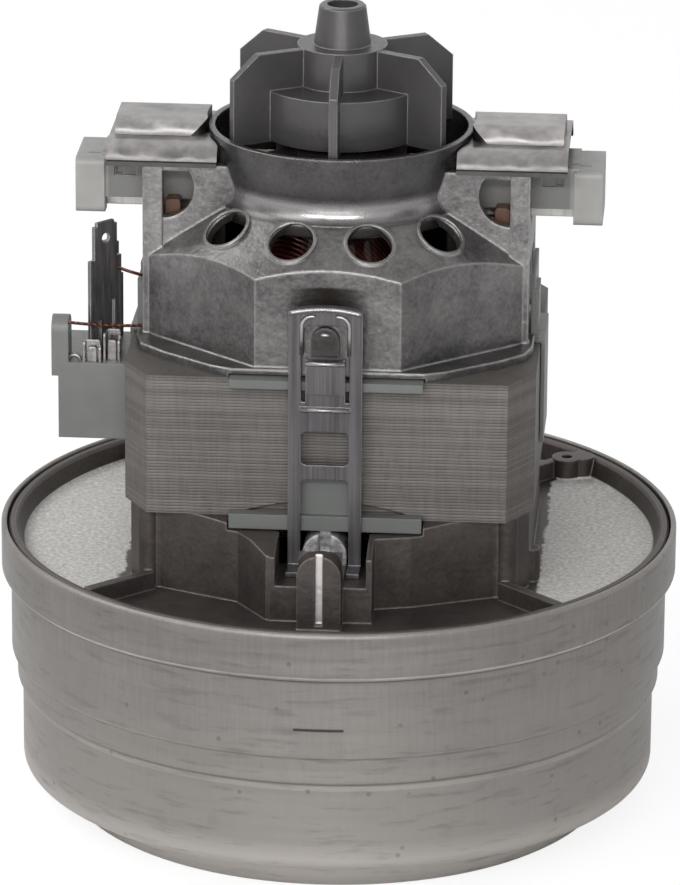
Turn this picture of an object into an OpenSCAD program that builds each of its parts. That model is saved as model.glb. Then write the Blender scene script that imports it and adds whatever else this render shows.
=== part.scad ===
/* [Fan shell] */
// Outer radius of the shell's rim band
shell_r = 72; // [71.5:0.1:73]
// Sheet thickness of the shell
shell_wall = 1.2; // [1:0.1:1.4]
// Step in radius from the rim band to the band below it
rim_step = 2; // [1.5:0.1:2.4]
// Step in radius from the second band to the third
mid_step = 1.2; // [0.9:0.1:1.5]
// Step in radius from the third band to the lower body
low_step = 1.1; // [0.8:0.1:1.5]
// Height of the shoulder above the lower body
low_z = 27.6; // [26:0.1:29]
// Height of the inner shelf that carries the stage divider
mid_z = 35; // [34:0.1:36.5]
// Height of the inner shelf that carries the fan end bracket
rim_z = 53; // [52:0.1:54]
// Height of the rim band above its shelf
rim_band_h = 8.4; // [7.6:0.1:10]
// How far the dished base lies inside the lower body
base_inset = 9.2; // [8:0.1:11]
// Depth of the dished base
base_h = 7.3; // [6.4:0.1:8]
// Radius of the air inlet
inlet_r = 19; // [17:0.1:20]

/* [Fans and diffuser] */
// Gap between the wheels' tips and the shell's lower body
tip_gap = 4.5; // [3.5:0.1:6.5]
// Sheet thickness of the wheels and the diffuser
wheel_sheet = 0.9; // [0.7:0.1:1.1]
// Height of the first wheel
wheel1_h = 10; // [8.5:0.1:11]
// Height of the second wheel
wheel2_h = 9; // [8:0.1:10]
// Number of vanes on each wheel
wheel_vanes = 7; // [5:1:9]
// Running gap above and below a wheel
wheel_gap = 1; // [0.8:0.1:1.4]
// Number of return vanes on the diffuser
diffuser_vanes = 11; // [8:1:12]
// Radius of the curved vanes' sweep
vane_sweep_r = 46; // [44:0.5:50]

/* [Fan end bracket] */
// Height of the floor's top face
floor_z = 56.8; // [56.4:0.1:58]
// Thickness of the floor
floor_t = 3; // [2.4:0.1:3.4]
// Height of the rim's top edge
bracket_rim_z = 61.1; // [60:0.1:62]
// Height of the stator seat
seat_z = 74.5; // [74:0.1:76]
// Wall thickness of the lower skirt
skirt_wall = 2.6; // [2.2:0.1:3]
// Width of the centre rib at front and back
keel_w = 9.1; // [8.4:0.1:9.4]
// Half width of the pockets that the strap's feet stand in
pocket_half = 9.4; // [9.2:0.1:10]
// Depth of the pockets in front of the stack
pocket_d = 14.5; // [13.8:0.1:15]
// Height of the hook shelf
hook_z = 64.5; // [63:0.1:66]

/* [Stator] */
// Height of the lamination stack
stack_h = 30; // [28:0.1:32]
// Half depth of the stack from the axis to its front face
stack_half_y = 38; // [37.6:0.1:38.4]
// Half width of the stack
stack_half_x = 42.7; // [42.2:0.1:43.6]
// Width of the stack's corner facets
corner_cut = 5.4; // [5:0.1:7]
// Radius of the armature
armature_r = 20.5; // [19.5:0.1:21]
// Air gap between the armature and the pole faces
air_gap = 0.6; // [0.4:0.05:0.8]
// Number of armature slots
slots = 12; // [10:1:14]

/* [Commutator end bracket] */
// Thickness of the casting's walls
cast_wall = 2.4; // [2:0.1:2.8]
// Half depth of the upper skirt's flat front face
skirt_half_y = 36.5; // [36:0.1:37]
// Height at which the shoulder's slope meets the neck, above the stack
shoulder_h = 30.9; // [30.4:0.1:31.4]
// Slope of the shoulder
shoulder_slope = 36.5; // [35:0.5:38]
// Radius of the neck at its narrowest place
neck_r = 25.8; // [25.6:0.1:26.1]
// Radius of the fillet between the shoulder and the neck
neck_fillet = 4.2; // [3.5:0.1:4.6]
// Radius of the bowl's rim
bowl_r = 27.8; // [27.6:0.1:28.2]
// Height of the bowl's rim above the shoulder's top
bowl_h = 13.1; // [12.9:0.1:13.6]
// Wall of the bowl
bowl_wall = 1.7; // [1.4:0.1:1.9]
// Radius of the round vents
vent_r = 4.7; // [4.2:0.1:5]
// Distance of the vents from the axis
vent_ring_r = 31.2; // [30.9:0.1:31.5]
// Angle between neighbouring vents
vent_step = 30; // [28:0.5:31]
// Half distance between the outer faces of the arms
arm_half_y = 15; // [14.6:0.1:15.6]
// Distance of the end posts from the stack's side
post_inset = 2.4; // [2.1:0.1:2.8]
// Width of an end post
post_w = 4.1; // [3.6:0.1:4.5]
// Radius of the arms' windows
window_r = 6.6; // [6:0.1:7]

/* [Bearings and shaft] */
// Bore of the lower bearing
low_bore = 10; // [9.6:0.1:10.4]
// Outer diameter of the lower bearing
low_od = 26; // [25.6:0.1:26.6]
// Width of the lower bearing
low_w = 8; // [7.6:0.1:8.4]
// Bore of the upper bearing
up_bore = 8; // [7.8:0.1:8.3]
// Outer diameter of the upper bearing
up_od = 22; // [21.6:0.1:22.4]
// Width of the upper bearing
up_w = 7; // [6.6:0.1:7.2]
// Diameter of the shaft's fan end
fan_shaft_d = 8; // [7.6:0.1:8.4]
// Clearance of a fixed fit
fit = 0.02; // [0.01:0.005:0.03]

/* [Brush gear] */
// Height of the brush axis above the stack
brush_axis_h = 31.5; // [31.2:0.1:31.8]
// Width of a carbon brush
brush_w = 6.3; // [5.8:0.1:6.6]
// Height of a carbon brush
brush_h = 9; // [8.4:0.1:9.2]
// Length of a carbon brush
brush_l = 18; // [16:0.1:19]
// Wall of the brush tube
tube_wall = 0.6; // [0.5:0.05:0.7]
// Sliding clearance round a brush
brush_gap = 0.15; // [0.1:0.01:0.2]
// Radius of the commutator
comm_r = 12; // [11.5:0.1:12.3]
// Length of the commutator's brush track
comm_h = 10; // [9.8:0.1:10.2]
// Distance of the holder's end cap from the stack's side
cap_out = 6.3; // [6:0.1:7]
// Thickness of the holder's end cap
cap_t = 6.1; // [5.5:0.1:7]
// Half width of the holder's end cap
cap_half_y = 8.5; // [8:0.1:9]
// Sheet thickness of the clamps
clamp_t = 0.8; // [0.6:0.05:1]
// Height of a clamp's low arch above the arms
clamp_low = 4.4; // [4:0.1:4.8]
// Height of a clamp's raised box above its low arch
clamp_box = 3.2; // [2.8:0.1:3.8]

/* [Cooling fan] */
// Radius of the fan's blades
blade_r = 25.4; // [24.6:0.1:25.5]
// Thickness of a blade
blade_t = 1.8; // [1.4:0.1:2.2]
// Number of blades
blades = 6; // [5:1:8]
// Radius of the fan's lower hub
hub_r = 17; // [16.6:0.1:17.6]
// Radius of the fan's upper hub
crown_r = 9.4; // [8.6:0.1:10]
// Height of the fan's lower hub
hub_h = 10.6; // [10.2:0.1:11.4]
// Height of the fan's upper hub above the lower one
crown_h = 8.2; // [7.4:0.1:9]
// Height of the fan's cone above the upper hub
cone_h = 8.4; // [7.4:0.1:10]

/* [Strap] */
// Width of the ladder strap
strap_w = 15.2; // [14.6:0.1:15.6]
// Thickness of the ladder strap
strap_t = 1; // [0.8:0.05:1.2]
// Width of a rail
rail_w = 2.6; // [2.2:0.1:3]
// Height of the strap's top above the stack
strap_top = 17.3; // [16.6:0.1:18]
// Height of a crossbar
crossbar = 3.2; // [2.8:0.1:3.4]

/* [Terminals] */
// Width of the terminal block along the stack
block_w = 22; // [20:0.1:24]
// Depth of the terminal block away from the stack
block_d = 15.2; // [14:0.1:16]
// Height of the terminal block
block_h = 16.6; // [16:0.1:17.4]
// Width of a tab
tab_w = 6.3; // [6:0.1:6.5]
// Thickness of a tab
tab_t = 0.8; // [0.7:0.05:0.9]
// Height of the front tab above its block
tab_front_h = 29.5; // [28:0.5:32]
// Height of the rear tab above its block
tab_rear_h = 22; // [20:0.5:24]

/* [Hidden] */
$fn = 72;
eps = 0.01;
gap = 0.3;

// Radii of the shell's bands, from the rim down
band1_r = shell_r - rim_step;
band2_r = band1_r - mid_step;
body_r = band2_r - low_step;
base_r = body_r - base_inset;
wheel_r = body_r - shell_wall - tip_gap;
shell_h = rim_z + rim_band_h;
base_bend = 2.5;
body_bend = 2.4;
horn_bend = 3;
band_slope = 0.8;

// Heights of the turbine stages, from the base up
wheel1_z = base_h + shell_wall + wheel_gap;
wheel1_top = wheel1_z + wheel1_h;
eye_gap = 0.6;
eye_r = inlet_r + shell_wall + eye_gap;
eye_lap = 1;
diffuser_z = wheel1_top + 2 * wheel_gap;
divider_t = 1;
divider_z = mid_z;
wheel2_z = divider_z + divider_t + wheel_gap;
wheel2_top = wheel2_z + wheel2_h;
cast_vane_gap = 1.5;

// Heights of the motor, from the stator seat up
stack_z = seat_z;
stack_top = stack_z + stack_h;
neck_z = stack_top + shoulder_h;
bowl_top = neck_z + bowl_h;
stack_flat = stack_half_x - corner_cut;
post_half_x = stack_half_x - post_inset;
cap_x = stack_half_x + cap_out;
brush_z = stack_top + brush_axis_h;
riser_h = 2.4;
riser_r = comm_r + 1.6;
comm_z = brush_z - comm_h / 2 - riser_h;
comm_top = comm_z + riser_h + comm_h;
bore_r = armature_r + air_gap;

// Bearings
low_seat_t = 2.2;
low_bearing_z = floor_z - floor_t + low_seat_t;
low_bearing_top = low_bearing_z + low_w;
hub_wall = 3;
low_hub_r = low_od / 2 + hub_wall;
up_hub_wall = 2.7;
up_hub_r = up_od / 2 + up_hub_wall;
tube_half_z = brush_h / 2 + brush_gap + tube_wall;
tube_half_y = brush_w / 2 + brush_gap + tube_wall;
spoke_z = brush_z + tube_half_z + 0.5;
spoke_t = 3.6;
up_bearing_z = spoke_z + spoke_t + 0.6;
up_bearing_top = up_bearing_z + up_w;
up_hub_top = up_bearing_top + 0.5;

// Shaft
shaft_r = low_bore / 2;
nose_r = fan_shaft_d / 2;
tail_r = up_bore / 2;
washer_t = 1;
washer_r = 10;
nut_h = 5.5;
nut_af = 13;
spacer_r = 6.5;
shaft_z0 = wheel1_top - wheel_sheet - washer_t - nut_h - 1.5;

// Cooling fan
hub_z = up_hub_top - 6.3;
hub_top = hub_z + hub_h;
crown_top = hub_top + crown_h;
cone_top = crown_top + cone_h;
hub_skin = 1.8;
blade_z0 = bowl_top - 1.7;
blade_cut = 5.2;
shaft_top = cone_top - 4.6;

// Bearing parts
function race_r(bore, od) = (bore + od) / 4;
function ball_r(bore, od) = (od - bore) * 0.15;
ring_share = 0.19;
ball_gap = 0.08;

// Points of an arc, from angle a0 to a1 in n steps
function arc(cx, cy, r, a0, a1, n) =
    [for (i = [0:n]) let (a = a0 + (a1 - a0) * i / n) [cx + r * cos(a), cy + r * sin(a)]];

// A tube with its true bore
module ring(r_out, r_in, h) {
    difference() {
        cylinder(r = r_out, h = h);
        translate([0, 0, -1]) cylinder(r = r_in, h = h + 2);
    }
}

// A rectangle with round corners, from two corners
module round_rect(x0, y0, x1, y1, r) {
    translate([x0 + r, y0]) square([x1 - x0 - 2 * r, y1 - y0]);
    translate([x0, y0 + r]) square([x1 - x0, y1 - y0 - 2 * r]);
    for (x = [x0 + r, x1 - r], y = [y0 + r, y1 - r]) translate([x, y]) circle(r = r);
}

// A 2D outline in X and Z, made y_t thick towards +Y from y0
module upright(y0, y_t) {
    translate([0, y0 + y_t, 0]) rotate([90, 0, 0]) linear_extrude(height = y_t) children();
}

// A 2D outline in Y and Z, made x_t long towards +X from x0
module endwise(x0, x_t) {
    translate([x0, 0, 0]) rotate([90, 0, 90]) linear_extrude(height = x_t) children();
}

module both_ends() {
    children();
    rotate([0, 0, 180]) children();
}

module both_sides() {
    children();
    mirror([1, 0, 0]) children();
}

module four_corners() {
    both_sides() {
        children();
        mirror([0, 1, 0]) children();
    }
}

// Line of the shell's sheet: o = 0 is the outside, o = shell_wall the inside
function shell_line(o) = concat(
    [[inlet_r + o, wheel1_z + eye_lap]],
    arc(inlet_r + horn_bend, horn_bend, horn_bend - o, 180, 270, 5),
    arc(base_r - base_bend, base_bend, base_bend - o, -90, 0, 4),
    arc(base_r + base_bend, base_h - base_bend, base_bend + o, 180, 90, 4),
    arc(body_r - body_bend, base_h + body_bend, body_bend - o, -90, 0, 6),
    [[body_r - o, low_z - band_slope * low_step + o], [band2_r - o, low_z + o]],
    [[band2_r - o, mid_z - shell_wall - band_slope * mid_step * (1 - o / shell_wall) + o],
     [band1_r - o, mid_z - shell_wall + o]],
    [[band1_r - o, rim_z - shell_wall - band_slope * rim_step * (1 - o / shell_wall) + o],
     [shell_r - o, rim_z - shell_wall + o]]);

module fan_shell() {
    lip = 0.5;
    color("silver") rotate_extrude($fn = 180)
        polygon(concat(shell_line(0),
            [[shell_r, shell_h - lip], [shell_r - lip, shell_h],
             [shell_r - shell_wall + lip / 4, shell_h], [shell_r - shell_wall, shell_h - lip]],
            [for (i = [len(shell_line(0)) - 1:-1:0]) shell_line(shell_wall)[i]]));
}

// One curved vane in plan, between two radii, sweeping clockwise outwards
module vane_plan(r0, r1, t, turn) {
    mirror([turn < 0 ? 1 : 0, 0]) intersection() {
        difference() {
            circle(r = r1);
            circle(r = r0);
        }
        translate([0, vane_sweep_r - r0 * 0.4]) difference() {
            circle(r = vane_sweep_r + t / 2);
            circle(r = vane_sweep_r - t / 2);
        }
        translate([0, -r1]) square([r1, r1 + vane_sweep_r - r0 * 0.4]);
    }
}

module vane_ring(count, r0, r1, h, turn) {
    linear_extrude(height = h)
        for (i = [0:count - 1]) rotate(i * 360 / count) vane_plan(r0, r1, wheel_sheet, turn);
}

// Turbine wheel: back plate on top, front plate with its eye below, vanes between
module wheel(h) {
    difference() {
        union() {
            ring(wheel_r, eye_r, wheel_sheet);
            translate([0, 0, h - wheel_sheet]) cylinder(r = wheel_r, h = wheel_sheet);
            translate([0, 0, wheel_sheet / 2])
                vane_ring(wheel_vanes, eye_r + 2, wheel_r - 0.6, h - wheel_sheet, 1);
        }
        translate([0, 0, -1]) cylinder(r = nose_r + fit, h = h + 2);
    }
}

module inlet_wheel() {
    color("gainsboro") translate([0, 0, wheel1_z]) wheel(wheel1_h);
}

module outlet_wheel() {
    color("gainsboro") translate([0, 0, wheel2_z]) wheel(wheel2_h);
}

module return_diffuser() {
    vane_h = divider_z - diffuser_z;
    color("lightgrey") translate([0, 0, diffuser_z]) {
        ring(wheel_r, spacer_r + 1.5, wheel_sheet);
        vane_r1 = wheel_r - 0.6;
        translate([0, 0, wheel_sheet / 2])
            vane_ring(diffuser_vanes, eye_r + 2, vane_r1, vane_h - wheel_sheet / 2, -1);
    }
}

module stage_divider() {
    color("lightgrey") translate([0, 0, divider_z]) ring(band1_r - shell_wall - gap / 2, eye_r, divider_t);
}

module wheel_spacer() {
    z1 = wheel2_top - wheel_sheet;
    color("grey") translate([0, 0, wheel1_top]) ring(spacer_r, nose_r + fit, z1 - wheel1_top);
}

module bearing_spacer() {
    z0 = wheel2_top + washer_t;
    color("grey") translate([0, 0, z0]) ring(spacer_r, nose_r + fit, low_bearing_z - z0);
}

module wheel_washers() {
    color("darkgrey") {
        translate([0, 0, wheel1_top - wheel_sheet - washer_t]) ring(washer_r, nose_r + fit, washer_t);
        translate([0, 0, wheel2_top]) ring(washer_r, nose_r + fit, washer_t);
    }
}

module wheel_nut() {
    z0 = wheel1_top - wheel_sheet - washer_t - nut_h;
    color("silver") translate([0, 0, z0]) difference() {
        cylinder(r = nut_af / sqrt(3), h = nut_h, $fn = 6);
        translate([0, 0, -1]) cylinder(r = nose_r + fit, h = nut_h + 2);
    }
}

// Plan of one quarter of the lower skirt's outside, right front, from the side to the keel
side_wall_x = stack_half_x - 1;
notch_half = pocket_half + 1.2;
gusset_x = 18;
skirt_front_y = stack_half_y + pocket_d;
function skirt_quarter(o) = [
    [side_wall_x - o, 0], [side_wall_x - o, stack_half_y - 11],
    [stack_flat + 1.5 - o, stack_half_y - 3.8 - o * 0.6], [stack_flat - 2.5 - o, stack_half_y - 3.2 - o],
    [gusset_x - o, stack_half_y + 4.2 - o], [notch_half - o, stack_half_y + 6 - o],
    [notch_half - o, skirt_front_y - o], [0, skirt_front_y - o]];

function reversed(p) = [for (i = [len(p) - 1:-1:0]) p[i]];
function flip(p, sx, sy) = [for (q = p) [q[0] * sx, q[1] * sy]];
function whole_plan(q) = concat(q, reversed(flip(q, -1, 1)), flip(q, -1, -1), reversed(flip(q, 1, -1)));

keel_front_y = skirt_front_y + 4.8;
keel_top = seat_z - 1.6;
boss_r = 4.6;
bobbin_half = 20;
bobbin_t = 1.9;
top_bobbin_t = 0.5;

// Centre rib, shelf and round boss behind it, at one end of the lower skirt, drawn at the -Y end
keel_d = keel_front_y - skirt_front_y + eps;
boss_l = 7;
boss_z = seat_z - bobbin_t - boss_r - gap;
shelf_d = skirt_front_y - stack_half_y;

module keel() {
    translate([-keel_w / 2, -keel_front_y, floor_z - eps])
        cube([keel_w, keel_d, keel_top - keel_w / 2 - floor_z + eps]);
    translate([0, -keel_front_y, keel_top - keel_w / 2]) rotate([-90, 0, 0]) cylinder(r = keel_w / 2, h = keel_d);
    translate([0, -boss_front, boss_z]) rotate([-90, 0, 0]) cylinder(r = boss_r, h = boss_l);
    translate([-boss_r, -boss_front, floor_z - eps]) cube([2 * boss_r, boss_l, boss_z - floor_z]);
    translate([-boss_r, -skirt_front_y - eps, floor_z - eps]) cube([2 * boss_r, shelf_d, hook_z + 1 - floor_z]);
}

strap_face = stack_half_y + 3.2;
boss_front = strap_face + strap_t - 0.4;
lug_h = 4.6;
rib_h = 7.2;
lug_x = 47;
lug_y = 43;
lug_r = 3.2;
lug_bore = 1.3;

// Curved slot in the floor where the working air leaves
module outlet_slot() {
    slot_r0 = 50;
    slot_r1 = band1_r - shell_wall - 7;
    translate([0, 0, floor_z - floor_t - 1]) linear_extrude(height = floor_t + 2) intersection() {
        difference() {
            circle(r = slot_r1);
            circle(r = slot_r0);
        }
        polygon([[0, 0], [100 * cos(50), 100 * sin(50)], [100 * cos(66), 100 * sin(66)]]);
    }
}

module fan_end_bracket() {
    rim_r = shell_r - shell_wall - gap;
    floor_r = rim_r - 3.5;
    under_z = floor_z - floor_t;
    rim_top_r = rim_r - 2.1;
    color("dimgrey") difference() {
        union() {
            // Rim, floor and foot
            rotate_extrude($fn = 180) polygon([[low_od / 2 - 4, under_z], [band1_r - 3, under_z],
                [band1_r - 3, rim_z], [rim_r, rim_z], [rim_r, bracket_rim_z - 0.6], [rim_r - 0.6, bracket_rim_z],
                [rim_top_r + 0.6, bracket_rim_z], [rim_top_r, bracket_rim_z - 0.6], [floor_r, floor_z],
                [low_od / 2 - 4, floor_z]]);
            // Lower skirt
            translate([0, 0, floor_z - eps]) linear_extrude(height = seat_z - floor_z + eps) difference() {
                polygon(whole_plan(skirt_quarter(0)));
                polygon(whole_plan(skirt_quarter(skirt_wall)));
            }
            // Gusset beside the left pocket
            both_ends() translate([0, 0, floor_z - eps]) linear_extrude(height = seat_z - floor_z + eps)
                polygon([[-gusset_x, -stack_half_y - 4.2], [-notch_half - 0.6, -skirt_front_y + 0.4],
                    [-notch_half + 0.5, -skirt_front_y + 0.4], [-notch_half + 0.5, -stack_half_y - 4.2]]);
            // Corner columns and the ribs that run from them to the rim
            four_corners() translate([stack_flat, stack_half_y - 5, floor_z - eps]) {
                cylinder(r = 2.4, h = seat_z - floor_z + eps);
            }
            four_corners() rotate([0, 0, 44]) translate([stack_flat * 1.36, -1, floor_z - eps])
                cube([floor_r + 0.8 - stack_flat * 1.36, 2, bracket_rim_z - floor_z - 0.4]);
            // Front and rear keels with their pockets
            both_ends() {
                keel();
                translate([-notch_half, -skirt_front_y, floor_z - eps])
                    cube([2 * notch_half, shelf_d - 1, hook_z - floor_z]);
            }
            // Bearing hub and the cast vanes below the floor
            translate([0, 0, under_z]) cylinder(r = low_hub_r, h = low_bearing_top + 0.5 - under_z);
            translate([0, 0, wheel2_top + cast_vane_gap]) {
                cylinder(r = low_hub_r, h = under_z - wheel2_top - cast_vane_gap + eps);
                vane_ring(8, low_hub_r - 0.5, 46, under_z - wheel2_top - cast_vane_gap + eps, -1);
            }
            // Lug inside the rim at the right rear, and a small one beside the skirt
            translate([lug_x, lug_y, floor_z - eps]) cylinder(r = lug_r, h = lug_h);
            translate([lug_x + lug_r, lug_y + 1, floor_z - eps]) cylinder(r = lug_r - 0.5, h = lug_h);
            translate([side_wall_x + 0.4, -stack_half_y * 0.6, floor_z - eps]) cylinder(r = 1.9, h = rib_h);
        }
        // Pocket openings beside the keel, above the hook shelf
        both_ends() both_sides() {
            translate([boss_r, -skirt_front_y - 1, hook_z])
                cube([pocket_half - boss_r, shelf_d + 6, seat_z - hook_z + 1]);
        }
        // Room for the bobbin flanges
        both_ends() translate([-bobbin_half - gap, -skirt_front_y - 1, seat_z - bobbin_t - gap])
            cube([2 * (bobbin_half + gap), skirt_front_y, 20]);
        // The front walls fall away in front of the stack
        both_ends() both_sides() endwise(keel_w / 2 + eps, 60) polygon([[-stack_half_y - 0.5, seat_z],
            [-stack_half_y - 20, seat_z - 5.4], [-stack_half_y - 20, seat_z + 5], [-stack_half_y - 0.5, seat_z + 5]]);
        // Slot down the face of each keel and across its boss
        both_ends() translate([-0.8, -keel_front_y - 1, floor_z + 1]) cube([1.6, 2.6, seat_z - floor_z]);
        both_ends() translate([-1.2, -boss_front - 1, boss_z]) cube([2.4, 3.4, seat_z - boss_z]);
        // Open space between each keel and its boss
        both_ends() translate([-boss_r, -skirt_front_y + eps, hook_z + 1])
            cube([2 * boss_r, skirt_front_y - boss_front - eps, seat_z - hook_z]);
        // Bearing seat
        translate([0, 0, low_bearing_z]) cylinder(r = low_od / 2 + fit, h = low_w + 2);
        translate([0, 0, wheel2_top]) cylinder(r = spacer_r + 1, h = 20);
        translate([0, 0, wheel2_top + cast_vane_gap - eps]) cylinder(r = washer_r + 1, h = 4);
        // Air outlets and the hole in the lug
        both_sides() outlet_slot();
        translate([lug_x, lug_y, floor_z + 0.6]) cylinder(r = lug_bore, h = lug_h);
    }
}

// Bearing rings, balls in their cage: z0 at the lower face
module bearing_outer(bore, od, w) {
    race = race_r(bore, od);
    br = ball_r(bore, od);
    difference() {
        ring(od / 2, race + br * (1 - 2 * ring_share), w);
        translate([0, 0, w / 2]) rotate_extrude() translate([race, 0]) circle(r = br + ball_gap, $fn = 36);
    }
}

module bearing_inner(bore, od, w) {
    race = race_r(bore, od);
    br = ball_r(bore, od);
    difference() {
        ring(race - br * (1 - 2 * ring_share), bore / 2 + fit, w);
        translate([0, 0, w / 2]) rotate_extrude() translate([race, 0]) circle(r = br + ball_gap, $fn = 36);
    }
}

module bearing_balls(bore, od, w) {
    race = race_r(bore, od);
    br = ball_r(bore, od);
    translate([0, 0, w / 2]) {
        for (i = [0:7]) rotate([0, 0, i * 45]) translate([race, 0, 0]) sphere(r = br, $fn = 32);
        translate([0, 0, -0.7]) ring(race + 0.5, race - 0.5, 1.4);
    }
}

module lower_bearing_outer_ring() {
    color("lightsteelblue") translate([0, 0, low_bearing_z]) bearing_outer(low_bore, low_od, low_w);
}

module lower_bearing_inner_ring() {
    color("lightsteelblue") translate([0, 0, low_bearing_z]) bearing_inner(low_bore, low_od, low_w);
}

module lower_bearing_balls() {
    color("gold") translate([0, 0, low_bearing_z]) bearing_balls(low_bore, low_od, low_w);
}

module upper_bearing_outer_ring() {
    color("lightsteelblue") translate([0, 0, up_bearing_z]) bearing_outer(up_bore, up_od, up_w);
}

module upper_bearing_inner_ring() {
    color("lightsteelblue") translate([0, 0, up_bearing_z]) bearing_inner(up_bore, up_od, up_w);
}

module upper_bearing_balls() {
    color("gold") translate([0, 0, up_bearing_z]) bearing_balls(up_bore, up_od, up_w);
}

winding_r = armature_r - 1.4;
winding_low_h = 6.4;
winding_up_h = 13;

module armature_spacer() {
    z1 = stack_z - winding_low_h - 1;
    color("tan") translate([0, 0, low_bearing_top]) ring(spacer_r, shaft_r + fit, z1 - low_bearing_top);
}

module rotor_shaft() {
    color("silver") {
        translate([0, 0, shaft_z0]) cylinder(r = nose_r, h = low_bearing_z - shaft_z0);
        translate([0, 0, low_bearing_z]) cylinder(r = shaft_r, h = up_bearing_z - low_bearing_z);
        translate([0, 0, up_bearing_z]) cylinder(r = tail_r, h = shaft_top - up_bearing_z);
    }
}

slot_w = 3;
slot_r0 = 12;

module armature_core() {
    color("slategrey") translate([0, 0, stack_z]) linear_extrude(height = stack_h) difference() {
        circle(r = armature_r);
        circle(r = shaft_r + fit);
        for (i = [0:slots - 1]) rotate(i * 360 / slots) {
            translate([slot_r0, -slot_w / 2]) square([armature_r - slot_r0 - 1.2, slot_w]);
            translate([slot_r0, -0.9]) square([armature_r, 1.8]);
        }
    }
}

module armature_winding() {
    bar_w = slot_w - 0.4;
    z0 = stack_z - winding_low_h;
    z1 = stack_top + winding_up_h;
    top_r = comm_r + 0.4;
    inner_r = shaft_r + 1.6;
    color("sienna") {
        rotate_extrude() polygon(concat([[inner_r, z0]], arc(winding_r - 3, z0 + 3, 3, -90, 0, 4),
            [[winding_r, stack_z], [inner_r, stack_z]]));
        rotate_extrude() polygon(concat([[inner_r, stack_top], [winding_r, stack_top]],
            arc(winding_r - 4, z1 - 4, 4, 0, 70, 4), [[top_r, comm_z - 0.2], [inner_r, comm_z - 0.2]]));
        for (i = [0:slots - 1]) rotate([0, 0, i * 360 / slots])
            translate([slot_r0 + 0.3, -bar_w / 2, stack_z - 1])
                cube([armature_r - slot_r0 - 1.8, bar_w, stack_h + 2]);
    }
}

module commutator() {
    bars = 2 * slots;
    color("peru") translate([0, 0, comm_z]) difference() {
        union() {
            cylinder(r = comm_r, h = riser_h + comm_h);
            cylinder(r = riser_r, h = riser_h);
        }
        translate([0, 0, -1]) cylinder(r = shaft_r + fit, h = riser_h + comm_h + 2);
        for (i = [0:bars - 1]) rotate([0, 0, (i + 0.5) * 360 / bars])
            translate([comm_r - 0.9, -0.25, -1]) cube([4, 0.5, riser_h + comm_h + 2]);
    }
}

module commutator_spacer() {
    z1 = up_bearing_z;
    color("tan") translate([0, 0, comm_top]) ring(shaft_r + 1.2, shaft_r + fit, z1 - comm_top);
}

coil_in_x = 15.6;
coil_band = 7;
coil_bend = 1.4;
coil_y0 = bore_r - 0.6;
coil_y1 = skirt_half_y - 10.5;
window_x = stack_half_x - 7.8;
shoe_t = 3.5;
corner_y = stack_half_y - 9;
arch_d = 1.6;

module stator_core() {
    outline = [[stack_flat, stack_half_y], [stack_half_x, corner_y]];
    color("rosybrown") translate([0, 0, stack_z]) difference() {
        linear_extrude(height = stack_h) {
            difference() {
                polygon(whole_plan([outline[1], outline[0]]));
                circle(r = bore_r);
                both_sides() translate([coil_in_x - 0.5, -coil_y1 - 0.6])
                    square([window_x - coil_in_x + 0.5, 2 * coil_y1 + 1.2]);
            }
            intersection() {
                difference() {
                    circle(r = bore_r + shoe_t);
                    circle(r = bore_r);
                }
                both_sides() for (s = [-1, 1])
                    polygon([[0, 0], [0, 40 * s], [40 * sin(55), 40 * s], [40 * sin(55), 40 * cos(55) * s]]);
            }
        }
        // Shallow arch at the foot of the front and rear faces
        both_ends() intersection() {
            translate([-28, -stack_half_y - 1, -1]) cube([56, arch_d + 1, 5]);
            translate([0, -stack_half_y - 1, -52]) rotate([-90, 0, 0])
                cylinder(r = 55.8, h = arch_d + 1, $fn = 180);
        }
    }
}

// Bobbin flange with the lip that shows in front of the stack, for the -Y pole, top face at z = 0
module bobbin(lip_w, lip_h, t) {
    lip_y = strap_face - gap;
    wide_y = coil_y1 + gap;
    translate([-lip_w, -lip_y, -t]) cube([2 * lip_w, lip_y - wide_y, t]);
    pole_w = coil_in_x - coil_bend - gap;
    translate([-pole_w, -lip_y, -t]) cube([2 * pole_w, lip_y - bore_r, t]);
    translate([-lip_w, -lip_y, -eps]) cube([2 * lip_w, lip_y - stack_half_y - gap / 2, lip_h]);
}

module lower_bobbins() {
    panel_w = strap_w / 2 - rail_w + 1;
    color("lightgrey") both_ends() translate([0, 0, stack_z]) {
        bobbin(bobbin_half, 1.3, bobbin_t);
        translate([-panel_w, -stack_half_y - 1.4, 1.3 - eps]) cube([2 * panel_w, 1.4 - gap / 2, 8.4]);
    }
}

module upper_bobbins() {
    color("lightgrey") both_ends() translate([0, 0, stack_top]) mirror([0, 0, 1])
        bobbin(bobbin_half, 1.4, top_bobbin_t);
}

// Racetrack coil round one pole
module field_coil() {
    z0 = stack_z - bobbin_t - coil_band;
    z1 = stack_top + top_bobbin_t + coil_band;
    outer_x = coil_in_x + coil_band;
    color("sienna") upright(-coil_y1, coil_y1 - coil_y0) difference() {
        round_rect(-outer_x, z0, outer_x, z1, 6);
        round_rect(-coil_in_x, z0 + coil_band, coil_in_x, z1 - coil_band, coil_bend);
    }
}

module field_coil_front() {
    field_coil();
}

module field_coil_rear() {
    rotate([0, 0, 180]) field_coil();
}

wing_t = 0.8;
wing_half = 9;
wing_rise = 15.2;

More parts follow.
